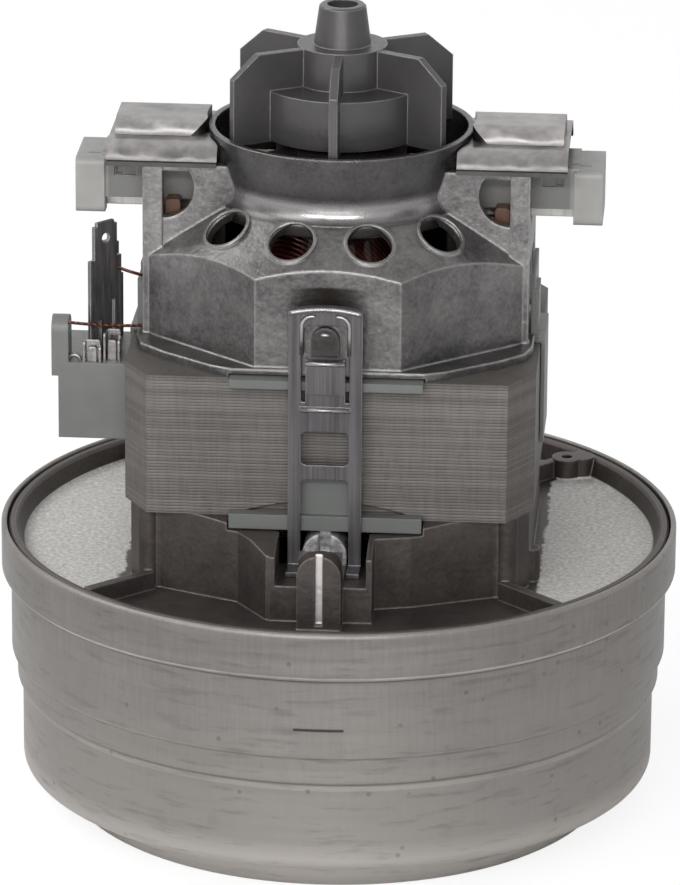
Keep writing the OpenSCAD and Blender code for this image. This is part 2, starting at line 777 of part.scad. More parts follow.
// Upright plate on the side of the stack, drop is how far it reaches below the stack's top
module side_insulator(drop) {
    x0 = stack_half_x + gap / 2;
    x1 = post_half_x + gap;
    translate([x0, -wing_half, stack_top - drop]) cube([wing_t, 2 * wing_half, drop + wing_t]);
    translate([x1, -wing_half, stack_top]) cube([x0 + wing_t - x1, 2 * wing_half, wing_t]);
    translate([x1, -wing_half, stack_top]) cube([wing_t, 2 * wing_half, wing_rise]);
    translate([x1, 1 - wing_half, stack_top]) cube([2 * wing_t, wing_half, wing_rise - 4]);
}

module side_insulators() {
    color("whitesmoke") {
        side_insulator(stack_h - 8);
        mirror([1, 0, 0]) side_insulator(stack_top - block_top - gap);
    }
}

// Plan of a quarter of the upper skirt: o moves the outline inwards
skirt_corner = 18;
function upper_quarter(o) = [
    [post_half_x - 0.8 - o, 0], [post_half_x - 0.8 - o, arm_half_y + 0.3 - o * 0.3],
    [post_half_x - post_w - 0.4 * o, skirt_half_y - skirt_corner - o],
    [15 - o * 0.3, skirt_half_y - o], [0, skirt_half_y - o]];

function lip_quarter() = [
    [stack_half_x - 1.2, 0], [stack_half_x - 1.2, 17], [stack_half_x - 2.6, 22.5],
    [stack_half_x - 8, stack_half_y - 10], [24.5, stack_half_y - 2.2], [20, stack_half_y - 0.2], [0, stack_half_y - 0.2]];

function shoulder_z(r) = neck_z - (r - neck_r) * tan(shoulder_slope);

// The neck is a fillet that ends on the shoulder's slope and starts the bowl's flare
waist_z = neck_z + neck_fillet * (1 - sin(shoulder_slope)) / cos(shoulder_slope);
split_a = 90 - shoulder_slope;
split_r = neck_r + neck_fillet * (1 - cos(split_a));
split_z = waist_z - neck_fillet * sin(split_a);
flare_a = 16;
flare_r = neck_r + neck_fillet * (1 - cos(flare_a));
flare_z = waist_z + neck_fillet * sin(flare_a);
rim_wall = bowl_wall * 0.75;

// Points of the bowl's flare, o moves them inwards
function flare_line(o) = [for (i = [1:6])
    [flare_r + (bowl_r - flare_r) * sin(15 * i) - o, flare_z + (bowl_top - flare_z) * i / 6]];
function bowl_out() = concat([for (i = [0:8]) let (a = split_a - (split_a + flare_a) * i / 8)
    [neck_r + neck_fillet * (1 - cos(a)), waist_z - neck_fillet * sin(a)]], flare_line(0));
function bowl_in() = concat([[neck_r - bowl_wall, split_z - cast_wall], [neck_r - bowl_wall, waist_z]],
    flare_line(rim_wall));

module vent_axis(a) {
    rotate([0, 0, a - 90]) translate([vent_ring_r, 0, shoulder_z(vent_ring_r)])
        rotate([0, shoulder_slope, 0]) children();
}

module all_vents() {
    both_ends() for (i = [-1.5:1:1.5]) vent_axis(i * vent_step) children();
}

arm_t = 2.4;
arm_top = brush_z + tube_half_z + 1.6;
post_x0 = post_half_x - post_w;
pad_h = 11.5;
pad_w = 10;
strap_nose_r = 2.9;

module shoulder_body(o) {
    far = post_half_x + 20;
    intersection() {
        translate([0, 0, stack_top - (o > 0 ? 1 : 0)]) linear_extrude(height = shoulder_h + 2)
            polygon(whole_plan(upper_quarter(o)));
        rotate_extrude($fn = 120) polygon([[0, stack_top - 2], [far, stack_top - 2],
            [far, shoulder_z(far) - o], [neck_r, neck_z - o], [0, neck_z - o]]);
    }
}

// Way for the brush gear through the neck
module brush_way() {
    both_sides() translate([neck_r - 6, -cap_half_y + 0.2, brush_z - tube_half_z - gap])
        cube([30, 2 * cap_half_y - 0.4, 2 * tube_half_z + gap + 0.5]);
}

// Everything inside the bowl's outer face
module bowl_room() {
    rotate_extrude($fn = 120) polygon(concat([[0, stack_top + 2], [split_r, stack_top + 2]], bowl_out(),
        [[bowl_r, bowl_top + 20], [0, bowl_top + 20]]));
}

module commutator_end_bracket() {
    foot_z = shoulder_z(post_half_x);
    color("silver") difference() {
        union() {
            difference() {
                union() {
                    shoulder_body(0);
                    all_vents() cylinder(r = vent_r + 0.7, h = 0.5);
                }
                shoulder_body(cast_wall);
                all_vents() translate([0, 0, -9]) cylinder(r = vent_r, h = 16);
            }
            translate([0, 0, stack_top]) linear_extrude(height = 1.9) difference() {
                polygon(whole_plan(lip_quarter()));
                polygon(whole_plan(upper_quarter(cast_wall)));
            }
            // Arms with their end posts, carried down the skirt as ribs
            both_sides() for (s = [-1, 1]) {
                y0 = s < 0 ? -arm_half_y : arm_half_y - arm_t;
                translate([neck_r - 6, y0, foot_z - 1])
                    cube([post_half_x - neck_r + 6, arm_t, arm_top - foot_z + 1]);
                translate([post_x0, s < 0 ? -arm_half_y - 0.7 : arm_half_y - 3.3, foot_z - 2])
                    cube([post_w, 4, arm_top - foot_z + 2]);
                for (x = [post_x0, post_half_x - 1.5])
                    translate([x, s < 0 ? -arm_half_y - 0.7 : arm_half_y - 2.3, stack_top + 1])
                        cube([1.5, 3, foot_z - stack_top]);
            }
            // End wall below the brush tube
            both_sides() translate([post_x0 + 1.5, -arm_half_y + 1, foot_z - 2])
                cube([post_w - 1.5, 2 * arm_half_y - 2, brush_z - tube_half_z - foot_z + 2]);
            // Pads behind the ladder straps, with the nose that holds each strap
            both_ends() {
                translate([-pad_w / 2, -strap_face, stack_top + 2]) cube([pad_w, strap_face - skirt_half_y + 1, pad_h]);
                translate([-strap_nose_r, -strap_face - 1.8, stack_top + 6.6]) cube([2 * strap_nose_r, 2, 3.4]);
                translate([0, -strap_face - 1.8, stack_top + 10]) rotate([-90, 0, 0])
                    cylinder(r = strap_nose_r, h = 2);
            }
        }
        bowl_room();
        // Windows of the arms, straight on the post's side
        both_sides() intersection() {
            translate([post_x0, -arm_half_y - 2, brush_z + 2]) rotate([-90, 0, 0])
                cylinder(r = window_r, h = 2 * arm_half_y + 4);
            translate([post_x0 - 10, -arm_half_y - 2, brush_z - 8])
                cube([10, 2 * arm_half_y + 4, arm_top - 1.2 - brush_z + 8]);
        }
        brush_way();
        // Room for the bobbin flanges and the side insulators
        both_ends() translate([-bobbin_half - gap, -stack_half_y - 8, stack_top - 1])
            cube([2 * (bobbin_half + gap), stack_half_y, 1 + top_bobbin_t + gap]);
        both_sides() translate([post_half_x + gap / 2, -wing_half - gap, stack_top - 1])
            cube([10, 2 * (wing_half + gap), 30]);
    }
}

// Bowl of the same casting, set face to face on the shoulder at the foot of the neck's fillet
module fan_bowl() {
    color("silver") difference() {
        rotate_extrude($fn = 120) polygon(concat([[split_r, split_z - cast_wall]], bowl_out(), reversed(bowl_in())));
        brush_way();
    }
}

// Hub of the upper bearing on four spokes, cast in one with the bowl
module bearing_spider() {
    color("silver") difference() {
        union() {
            translate([0, 0, spoke_z]) cylinder(r = up_hub_r, h = up_hub_top - spoke_z);
            intersection() {
                for (a = [45, 135]) rotate([0, 0, a]) translate([-40, -2, spoke_z]) cube([80, 4, spoke_t]);
                rotate_extrude($fn = 120) polygon(concat([[0, split_z - cast_wall]], bowl_in(), [[0, bowl_top]]));
            }
        }
        translate([0, 0, up_bearing_z]) cylinder(r = up_od / 2 + fit, h = up_w + 2);
        translate([0, 0, spoke_z - 1]) cylinder(r = up_bore / 2 + 3.6, h = 20);
    }
}

// Cooling fan: cup hub, crown, cone and straight blades with their corners cut
module cooling_fan() {
    boss_r0 = tail_r + 2.2;
    color("dimgray") difference() {
        union() {
            difference() {
                translate([0, 0, hub_z]) cylinder(r = hub_r, h = hub_h);
                translate([0, 0, hub_z - 1]) cylinder(r = hub_r - hub_skin, h = hub_h + 1 - hub_skin);
            }
            translate([0, 0, up_bearing_top + 0.1]) cylinder(r = boss_r0, h = hub_top - up_bearing_top);
            translate([0, 0, hub_top - eps]) cylinder(r = crown_r, h = crown_h + eps);
            rotate_extrude() polygon([[0, crown_top - eps], [6, crown_top - eps], [4.9, cone_top - 0.4],
                [4.5, cone_top], [0, cone_top]]);
            for (i = [0:blades - 1]) rotate([0, 0, -90 + i * 360 / blades]) upright(-blade_t / 2, blade_t)
                difference() {
                    polygon([[tail_r + 2, hub_top - 2], [hub_r - 0.5, hub_top - 2], [hub_r - 0.5, blade_z0],
                        [blade_r, blade_z0], [blade_r, crown_top - blade_cut], [blade_r - 5.8, crown_top - 0.2],
                        [tail_r + 2, crown_top - 0.2]]);
                }
        }
        translate([0, 0, hub_z - 1]) cylinder(r = tail_r + fit, h = shaft_top - hub_z + 1);
        translate([0, 0, shaft_top - 1]) cylinder(r = 3.3, h = 10);
    }
}

// Brush gear, drawn for the right side
tube_x0 = riser_r + gap;
tube_x1 = cap_x + 1.2;
brush_tip = comm_r + brush_gap;
spring_x0 = brush_tip + brush_l + 0.1;

module brush_tube() {
    color("silver") difference() {
        translate([tube_x0, -tube_half_y, brush_z - tube_half_z])
            cube([tube_x1 - tube_x0, 2 * tube_half_y, 2 * tube_half_z]);
        translate([tube_x0 - 1, -tube_half_y + tube_wall, brush_z - tube_half_z + tube_wall])
            cube([tube_x1 - tube_x0 + 2, brush_w + 2 * brush_gap, brush_h + 2 * brush_gap]);
    }
}

module carbon_brush() {
    color("dimgray") difference() {
        translate([brush_tip, -brush_w / 2, brush_z - brush_h / 2]) cube([brush_l, brush_w, brush_h]);
        translate([0, 0, brush_z - brush_h]) cylinder(r = comm_r + brush_gap, h = 2 * brush_h);
    }
}

// Compression spring behind a brush, one unbroken tube
spring_turns = 9;
spring_r = 2.3;
spring_wire = 0.32;
spring_steps = 8;
spring_sides = 6;
spring_l = tube_x1 - 0.6 - spring_x0;

function spring_at(t) = [spring_x0 + spring_wire + t * (spring_l - 2 * spring_wire) / spring_turns,
    spring_r * cos(360 * t), brush_z + spring_r * sin(360 * t)];

function unit(v) = v / norm(v);

// Ring of points round one place of a route, square to the route
function sweep_ring(route, i, r, sides, up) = let (
        n = len(route) - 1,
        t = unit(route[min(i + 1, n)] - route[max(i - 1, 0)]),
        a = unit(cross(t, up)),
        b = cross(t, a))
    [for (k = [0:sides - 1]) route[i] + r * (a * cos(360 * k / sides) + b * sin(360 * k / sides))];

// Round wire along a route: up is a direction that the route never takes
module wire(route, r, sides, up) {
    n = len(route) - 1;
    rings = [for (i = [0:n]) each sweep_ring(route, i, r, sides, up)];
    faces = concat(
        [[for (k = [0:sides - 1]) k]],
        [[for (k = [sides - 1:-1:0]) n * sides + k]],
        [for (i = [0:n - 1], k = [0:sides - 1]) let (a = i * sides, j = (k + 1) % sides)
            each [[a + k, a + sides + k, a + j], [a + j, a + sides + k, a + sides + j]]]);
    polyhedron(rings, faces, convexity = 10);
}

module brush_spring() {
    route = [for (i = [0:spring_turns * spring_steps]) spring_at(i / spring_steps)];
    color("silver") wire(route, spring_wire, spring_sides, [1, 0, 0]);
}

module brush_holder() {
    saddle = tube_half_y + fit;
    body_z0 = brush_z - 2.6;
    body_top = arm_top - 0.6;
    body_y = cap_half_y - 0.9;
    body_x0 = bowl_r + gap;
    color("whitesmoke") difference() {
        union() {
            translate([body_x0, -body_y, body_z0]) cube([cap_x - body_x0 + 1, 2 * body_y, body_top - body_z0]);
            translate([cap_x, 0, 0]) endwise(0, cap_t) round_rect(-cap_half_y, brush_z - 6, cap_half_y, brush_z + 5.9, 1.4);
        }
        translate([body_x0 - 1, -saddle, brush_z - 12]) cube([tube_x1 - body_x0 + 1, 2 * saddle, 12 + tube_half_z + fit]);
        // Small recess and hole in each side
        for (s = [-1, 1]) {
            translate([cap_x - 6.6, s * body_y - 0.5, brush_z + 2.2]) cube([4.6, 1, 2]);
            translate([cap_x - 3.8, s * body_y - 1, brush_z + 2.4]) cube([1.4, 2, 1.6]);
        }
        // Slot in the top of the end cap
        translate([cap_x - 1, -4.4, brush_z + 4.6]) cube([4.6, 0.8, 4]);
    }
}

// Small moulded blocks below the front of the holders, standing on the shoulder
module brush_terminals() {
    y1 = -cap_half_y + 0.9;
    x0 = post_x0 - 3.4;
    color("saddlebrown") both_sides() translate([0, y1, 0]) rotate([90, 0, 0]) linear_extrude(height = 3.8)
        round_rect(x0, shoulder_z(x0) + gap, x0 + 3.2, brush_z - 1.6, 0.9);
}

// Pressed clamp: low arch from arm to arm with a raised box over the brush holder
module clamp_outline(o, z_top, half, r) {
    round_rect(-half + o, arm_top - 10, half - o, z_top - o, r - o);
}

// Raised box, o moves its faces inwards
module clamp_box_body(o, x0, x1) {
    half = cap_half_y - 0.3;
    end_r = 4;
    intersection() {
        endwise(x0 + o, x1 - x0 - 2 * o) clamp_outline(o, arm_top + clamp_low + clamp_box, half, 3.8);
        translate([0, 0, arm_top - 12]) linear_extrude(height = 40)
            round_rect(x0 + o, -half + o, x1 + 2 * end_r, half - o, end_r - o);
    }
}

module brush_clamp() {
    x0 = post_half_x - 15.4;
    x1 = cap_x - 1.1;
    low_top = arm_top + clamp_low;
    half = arm_half_y + 0.6;
    low_r = 4.9;
    color("gainsboro") difference() {
        union() {
            endwise(x0, x1 - x0) clamp_outline(0, low_top, half, low_r);
            clamp_box_body(0, x0 + 2.7, x1 - 1.1);
            for (s = [-1, 1]) translate([x0, s * (half + 0.3) - 0.7, arm_top]) cube([x1 - x0, 1.4, 0.9]);
        }
        endwise(x0 - 1, x1 - x0 + 2) clamp_outline(clamp_t, low_top, half, low_r);
        clamp_box_body(clamp_t, x0 + 2.7, x1 - 1.1);
        translate([x0 - 1, -40, arm_top - 20]) cube([x1 - x0 + 2, 80, 20]);
        translate([0, 0, stack_top]) cylinder(r = bowl_r + gap, h = 2 * (bowl_top - stack_top), $fn = 120);
    }
}

module brush_holder_left() { mirror([1, 0, 0]) brush_holder(); }
module brush_holder_right() { brush_holder(); }
module brush_tube_left() { mirror([1, 0, 0]) brush_tube(); }
module brush_tube_right() { brush_tube(); }
module carbon_brush_left() { mirror([1, 0, 0]) carbon_brush(); }
module carbon_brush_right() { carbon_brush(); }
module brush_spring_left() { mirror([1, 0, 0]) brush_spring(); }
module brush_spring_right() { brush_spring(); }
module brush_clamp_left() { mirror([1, 0, 0]) brush_clamp(); }
module brush_clamp_right() { brush_clamp(); }

// Ladder strap that ties the two brackets together
module ladder_strap() {
    half = strap_w / 2;
    inner = half - rail_w;
    z0 = hook_z + 0.1;
    z1 = stack_top + strap_top;
    low_top = stack_top - 20.3;
    arch_r = 30;
    toe = 5;
    face = -strap_face - strap_t;
    color("grey") {
        upright(face, strap_t) difference() {
            intersection() {
                translate([-half, z0]) square([strap_w, z1 - z0]);
                translate([0, z1 - arch_r]) circle(r = arch_r, $fn = 180);
            }
            round_rect(-inner, z0 - 10, inner, low_top, 1.4);
            round_rect(-inner, low_top + crossbar, inner, low_top + crossbar + 7.2, 1.2);
            round_rect(-inner, stack_top + 5.6, inner, z1 - 4.2, 2);
            for (s = [-1, 1]) translate([s * (inner - 0.45) - 0.45, stack_top - 3.4]) square([0.9, 12]);
        }
        // Turned out edge that follows the arched top
        upright(face - 1, 1 + eps) intersection() {
            translate([-half, z1 - 3]) square([strap_w, 3]);
            difference() {
                translate([0, z1 - arch_r]) circle(r = arch_r, $fn = 180);
                translate([0, z1 - arch_r]) circle(r = arch_r - 0.9, $fn = 180);
            }
        }
        // Pressed pad below the nose, with its turned out edge
        translate([-inner + 1.2, face - 0.7, stack_top - 1.6]) cube([2 * inner - 2.4, 0.9, 6.2]);
        translate([-inner + 0.9, face - 1.5, stack_top + 4.8]) cube([2 * inner - 1.8, 1.6, 0.8]);
        translate([-inner - 0.3, face - 0.5, stack_top - 5.4]) cube([2 * inner + 0.6, 0.6, 0.9]);
        // Toes in the pockets of the fan end bracket
        both_sides() translate([boss_r + gap, face - toe, z0]) cube([half - boss_r - gap, toe + eps, 1]);
    }
}

module strap_front() {
    ladder_strap();
}

module strap_rear() {
    rotate([0, 0, 180]) ladder_strap();
}

block_x1 = -stack_half_x - gap / 2;
block_x0 = block_x1 - block_d;
block_y0 = -17;
block_z0 = seat_z + 8.6;
block_top = block_z0 + block_h;
tab_turn = 48;

module terminal_block() {
    color("whitesmoke") difference() {
        union() {
            translate([block_x0, block_y0, block_z0]) cube([block_d, block_w, block_h]);
            translate([block_x0 - 1.4, block_y0, block_top - 3]) cube([3.6, 6, 9.6]);
            translate([block_x0 - 1.4, block_y0 + 3, block_top + 6.6]) rotate([0, 90, 0]) cylinder(r = 3, h = 3.6);
        }
        for (y = [0, 1]) translate([tab_x(y), tab_y(y), block_top - 9]) rotate([0, 0, tab_turn])
            translate([-tab_w / 2 - 1.3, -tab_t / 2 - 0.02, 0]) cube([tab_w + 2.6, tab_t + 0.04, 10]);
    }
}

function tab_x(i) = block_x1 - block_d / 2 + 1.7 - i * 0.8;
function tab_y(i) = block_y0 + 5.6 + i * 11;

// Flat tab with its shoulders, standing in the block
module tab(h) {
    blade_h = 8;
    body_w = tab_w + 2.4;
    rotate([0, 0, tab_turn]) upright(-tab_t / 2, tab_t) difference() {
        union() {
            translate([-body_w / 2, -8.6]) square([body_w, h - blade_h + 8.6]);
            translate([-tab_w / 2, h - blade_h - eps]) square([tab_w, blade_h - 0.8]);
            translate([-tab_w / 2 + 0.8, h - 1]) square([tab_w - 1.6, 1]);
        }
        translate([0, h - 3.6]) circle(r = 1.05);
        translate([-body_w / 2 + 2, -1]) square([0.9, 9]);
        translate([body_w / 2 - 2.9, 3]) square([0.9, 9]);
    }
}

module terminal_tabs() {
    color("dimgray") {
        translate([tab_x(0), tab_y(0), block_top]) tab(tab_front_h);
        translate([tab_x(1), tab_y(1), block_top]) tab(tab_rear_h);
    }
}

// Enamelled leads from the front tab to the field coils, bent in one sweep each
lead_r = 0.35;
lead_steps = 10;
function bend(a, b, c) = [for (i = [0:lead_steps]) let (t = i / lead_steps)
    a * (1 - t) * (1 - t) + b * 2 * t * (1 - t) + c * t * t];

module coil_leads() {
    skirt_end = [-post_half_x - lead_r - fit, -arm_half_y + 1.5, stack_top];
    tab_at = [tab_x(0), tab_y(0), block_top];
    start_a = tab_at + (tab_t / 2 + lead_r + fit) * [sin(tab_turn), -cos(tab_turn), 0]
        + 3 * [cos(tab_turn), sin(tab_turn), 0];
    color("sienna") {
        wire(bend(start_a + [0, 0, 19], start_a + [2, -1.4, 18.6], skirt_end + [0, 0, 13.8]),
            lead_r, 6, [0, 0, 1]);
        wire(bend(tab_at + [-7.2, -5.4, 8.8], tab_at + [1.8, -3, 7.2], skirt_end + [0, 0, 2.8]),
            lead_r, 6, [0, 0, 1]);
    }
}

fan_shell();
inlet_wheel();
return_diffuser();
stage_divider();
outlet_wheel();
wheel_spacer();
bearing_spacer();
wheel_washers();
wheel_nut();
fan_end_bracket();
lower_bearing_outer_ring();
lower_bearing_balls();
lower_bearing_inner_ring();
armature_spacer();
rotor_shaft();
armature_core();
armature_winding();
commutator();
stator_core();
lower_bobbins();
upper_bobbins();
field_coil_front();
field_coil_rear();
side_insulators();
commutator_end_bracket();
fan_bowl();
bearing_spider();
upper_bearing_outer_ring();
upper_bearing_balls();
upper_bearing_inner_ring();
commutator_spacer();
cooling_fan();
brush_holder_left();
brush_holder_right();
brush_tube_left();
brush_tube_right();
carbon_brush_left();
carbon_brush_right();
brush_spring_left();
brush_spring_right();
brush_terminals();
brush_clamp_left();
brush_clamp_right();
strap_front();
strap_rear();
terminal_block();
terminal_tabs();
coil_leads();
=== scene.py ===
import logging
import math
from collections.abc import Iterable
from dataclasses import dataclass
from enum import Enum

import bmesh
import bpy
from mathutils import Matrix, Vector


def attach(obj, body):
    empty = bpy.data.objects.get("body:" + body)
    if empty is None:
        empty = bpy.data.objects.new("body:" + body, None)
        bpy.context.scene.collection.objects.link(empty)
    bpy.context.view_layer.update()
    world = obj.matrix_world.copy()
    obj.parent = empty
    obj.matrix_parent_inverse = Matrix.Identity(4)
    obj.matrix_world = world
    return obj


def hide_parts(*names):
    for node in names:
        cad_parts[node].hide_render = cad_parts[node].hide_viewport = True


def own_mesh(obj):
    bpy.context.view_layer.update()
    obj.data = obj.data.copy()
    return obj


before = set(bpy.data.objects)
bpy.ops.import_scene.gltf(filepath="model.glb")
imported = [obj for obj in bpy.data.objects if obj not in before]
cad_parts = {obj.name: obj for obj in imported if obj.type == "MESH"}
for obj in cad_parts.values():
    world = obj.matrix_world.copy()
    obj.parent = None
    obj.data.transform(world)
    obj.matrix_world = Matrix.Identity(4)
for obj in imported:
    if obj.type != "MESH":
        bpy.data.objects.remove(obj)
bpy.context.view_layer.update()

MM = 0.001
LOG = logging.getLogger("motor")

Colour = tuple[float, float, float]
Socket = bpy.types.NodeSocket
Coat = tuple[Socket, Socket]
Node = bpy.types.Node
Tree = bpy.types.NodeTree
Material = bpy.types.Material
Shape = bmesh.types.BMesh
Edges = list[bmesh.types.BMEdge]


def srgb(red: int, green: int, blue: int) -> Colour:
    """Returns the linear colour of three display values from 0 to 255."""

    def linear(value: int) -> float:
        share = value / 255
        return share / 12.92 if share <= 0.04045 else ((share + 0.055) / 1.055) ** 2.4

    return linear(red), linear(green), linear(blue)


def scaled(colour: Colour, factor: float) -> Colour:
    """Returns a colour made darker or brighter by a factor, with no part above 1."""
    return tuple(min(1.0, factor * part) for part in colour)


# Painted shade: the near-black colour laid where shade falls inside the vents and the fan bowl and at the
# foot of the bowl's neck.
PAINTED_SHADE = srgb(30, 24, 20)


class Axis(Enum):
    """Direction that a finish's marks run along."""

    ROUND = "round the motor's axis"
    UP = "up the motor's axis"
    NONE = "no direction"


class Graph:
    """A shader node tree that is being filled.

    Args:
        tree: The material's, world's or group's node tree, which is emptied first.
    """

    def __init__(self, tree: Tree) -> None:
        self.tree = tree
        tree.nodes.clear()

    def add(self, kind: str, **settings: object) -> Node:
        """Adds one node.

        Args:
            kind: The node's type name without its ShaderNode prefix.
            settings: Attributes of the node, or values of its named inputs.

        Returns:
            The new node.
        """
        prefix = "" if kind.startswith("Node") else "ShaderNode"
        node = self.tree.nodes.new(prefix + kind)
        for name, value in settings.items():
            if hasattr(node, name):
                setattr(node, name, value)
            else:
                node.inputs[name.replace("_", " ")].default_value = value
        return node

    def link(self, source: Socket, target: Socket) -> None:
        """Joins an output socket to an input socket."""
        self.tree.links.new(source, target)

    def fill(self, target: Socket, value: object) -> None:
        """Gives an input a socket's value, a number or a linear colour."""
        if isinstance(value, Socket):
            self.link(value, target)
        elif isinstance(value, tuple):
            target.default_value = (*value, 1)
        else:
            target.default_value = value

    def maths(self, operation: str, *values: object, clamp: bool = False) -> Socket:
        """Adds a Math node.

        Args:
            operation: The node's operation.
            values: Its inputs, each a socket or a number.
            clamp: Whether the result is held between 0 and 1.

        Returns:
            The node's output socket.
        """
        node = self.add("Math", operation=operation, use_clamp=clamp)
        for place, value in enumerate(values):
            self.fill(node.inputs[place], value)
        return node.outputs[0]

    def invert(self, value: Socket) -> Socket:
        """Returns 1 less the value."""
        return self.maths("SUBTRACT", 1.0, value)

    def product(self, first: object, *others: object) -> Socket:
        """Returns all the values multiplied."""
        for other in others:
            first = self.maths("MULTIPLY", first, other)
        return first

    def blend(self, *parts: tuple[Socket, float]) -> Socket:
        """Returns the sum of the values, each times its share."""
        total = None
        for value, share in parts:
            part = self.product(value, share)
            total = part if total is None else self.maths("ADD", total, part)
        return total

    def mix(self, share: object, first: object, second: object) -> Socket:
        """Mixes two colours.

        Args:
            share: Socket or number, 0 for the first colour and 1 for the second.
            first: Socket or linear colour.
            second: Socket or linear colour.

        Returns:
            The mixed colour's socket.
        """
        node = self.add("Mix", data_type="RGBA")
        for place, value in ((0, share), (6, first), (7, second)):
            self.fill(node.inputs[place], value)
        return node.outputs[2]

    def noise(self, place: Socket, scale: object, detail: float, roughness: float) -> Socket:
        """Adds a noise texture.

        Args:
            place: Where it is read.
            scale: Its scale, a socket or a number.
            detail: How many finer octaves it has.
            roughness: How strong they are.

        Returns:
            Its value.
        """
        node = self.add("TexNoise", Detail=detail, Roughness=roughness)
        self.link(place, node.inputs["Vector"])
        self.fill(node.inputs["Scale"], scale)
        return node.outputs["Fac"]

    def mix_shaders(self, share: Socket, first: Node, second: Node) -> Socket:
        """Returns the mix of two shader nodes, at share 0 the first and at 1 the second."""
        node = self.add("MixShader")
        self.link(share, node.inputs[0])
        self.link(first.outputs[0], node.inputs[1])
        self.link(second.outputs[0], node.inputs[2])
        return node.outputs[0]

    def ramp(self, value: Socket, low: float, high: float) -> Socket:
        """Stretches the span from low to high over 0 to 1, held at both ends, and returns the socket."""
        node = self.add("MapRange", clamp=True)
        self.link(value, node.inputs["Value"])
        node.inputs["From Min"].default_value = low
        node.inputs["From Max"].default_value = high
        return node.outputs["Result"]

    def below(self, value: Socket, low: float, high: float) -> Socket:
        """Returns a mask that is 1 up to low and fades to 0 at high."""
        return self.invert(self.ramp(value, low, high))

    def window(self, value: Socket, low: float, high: float, soft: float) -> Socket:
        """Returns a mask that is 1 between low and high and fades over soft on both sides."""
        return self.product(self.ramp(value, low - soft, low), self.below(value, high, high + soft))

    def split(self, vector: Socket) -> tuple[Socket, Socket, Socket]:
        """Returns the three parts of a vector."""
        node = self.add("SeparateXYZ")
        self.link(vector, node.inputs[0])
        return tuple(node.outputs)

    def absolute(self, value: Socket) -> Socket:
        """Returns the value without its sign."""
        return self.maths("ABSOLUTE", value)


def new_group(name: str, inputs: dict[str, float], outputs: Iterable[str]) -> tuple[Graph, Node, Node]:
    """Starts a shader node group that reads a position and some numbers.

    Args:
        name: The group's name.
        inputs: Names and defaults of its number inputs.
        outputs: Names of its outputs: a vector for Normal, else a value.

    Returns:
        The graph, the group's input node and its output node.
    """
    tree = bpy.data.node_groups.new(name, "ShaderNodeTree")
    tree.interface.new_socket("Position", in_out="INPUT", socket_type="NodeSocketVector")
    for label, default in inputs.items():
        socket = tree.interface.new_socket(label, in_out="INPUT", socket_type="NodeSocketFloat")
        socket.default_value = default
    for label in outputs:
        kind = "NodeSocketVector" if label == "Normal" else "NodeSocketFloat"
        tree.interface.new_socket(label, in_out="OUTPUT", socket_type=kind)
    graph = Graph(tree)
    return graph, graph.add("NodeGroupInput"), graph.add("NodeGroupOutput")


def build_grain() -> Tree:
    """Builds the sand grain of a casting: a height for the bump and a speckle mask."""
    graph, given, result = new_group("grain", {"Size": 0.8}, ("Height", "Speckle"))
    per_metre = graph.maths("DIVIDE", 1000.0, given.outputs["Size"])
    fine = graph.noise(given.outputs["Position"], per_metre, 5.0, 0.65)
    pits = graph.add("TexVoronoi", feature="SMOOTH_F1")
    graph.link(given.outputs["Position"], pits.inputs["Vector"])
    graph.link(graph.product(per_metre, 0.6), pits.inputs["Scale"])
    both = graph.maths("ADD", fine, graph.product(pits.outputs["Distance"], 0.5))
    graph.link(both, result.inputs["Height"])
    graph.link(graph.ramp(fine, 0.38, 0.68), result.inputs["Speckle"])
    return graph.tree


def build_mottle() -> Tree:
    """Builds the broad uneven tone of handled metal: cloudy patches and small dark stains."""
    graph, given, result = new_group("mottle", {"Size": 20.0}, ("Cloud", "Stain"))
    per_metre = graph.maths("DIVIDE", 1000.0, given.outputs["Size"])
    cloud = graph.noise(given.outputs["Position"], per_metre, 4.0, 0.6)
    stain = graph.noise(given.outputs["Position"], graph.product(per_metre, 3.1), 6.0, 0.7)
    graph.link(graph.ramp(cloud, 0.3, 0.7), result.inputs["Cloud"])
    graph.link(graph.ramp(stain, 0.6, 0.74), result.inputs["Stain"])
    return graph.tree


def build_streaks() -> Tree:
    """Builds fine marks that run along Z of the position it is given: a tone and a height."""
    graph, given, result = new_group("streaks", {"Width": 0.5, "Length": 30.0}, ("Tone", "Height"))
    across = graph.maths("DIVIDE", 1000.0, given.outputs["Width"])
    along = graph.maths("DIVIDE", 1000.0, given.outputs["Length"])
    scale = graph.add("CombineXYZ")
    graph.link(across, scale.inputs["X"])
    graph.link(across, scale.inputs["Y"])
    graph.link(along, scale.inputs["Z"])
    stretched = graph.add("VectorMath", operation="MULTIPLY")
    graph.link(given.outputs["Position"], stretched.inputs[0])
    graph.link(scale.outputs[0], stretched.inputs[1])
    noise = graph.noise(stretched.outputs[0], 1.0, 3.0, 0.6)
    graph.link(graph.ramp(noise, 0.35, 0.65), result.inputs["Tone"])
    graph.link(noise, result.inputs["Height"])
    return graph.tree


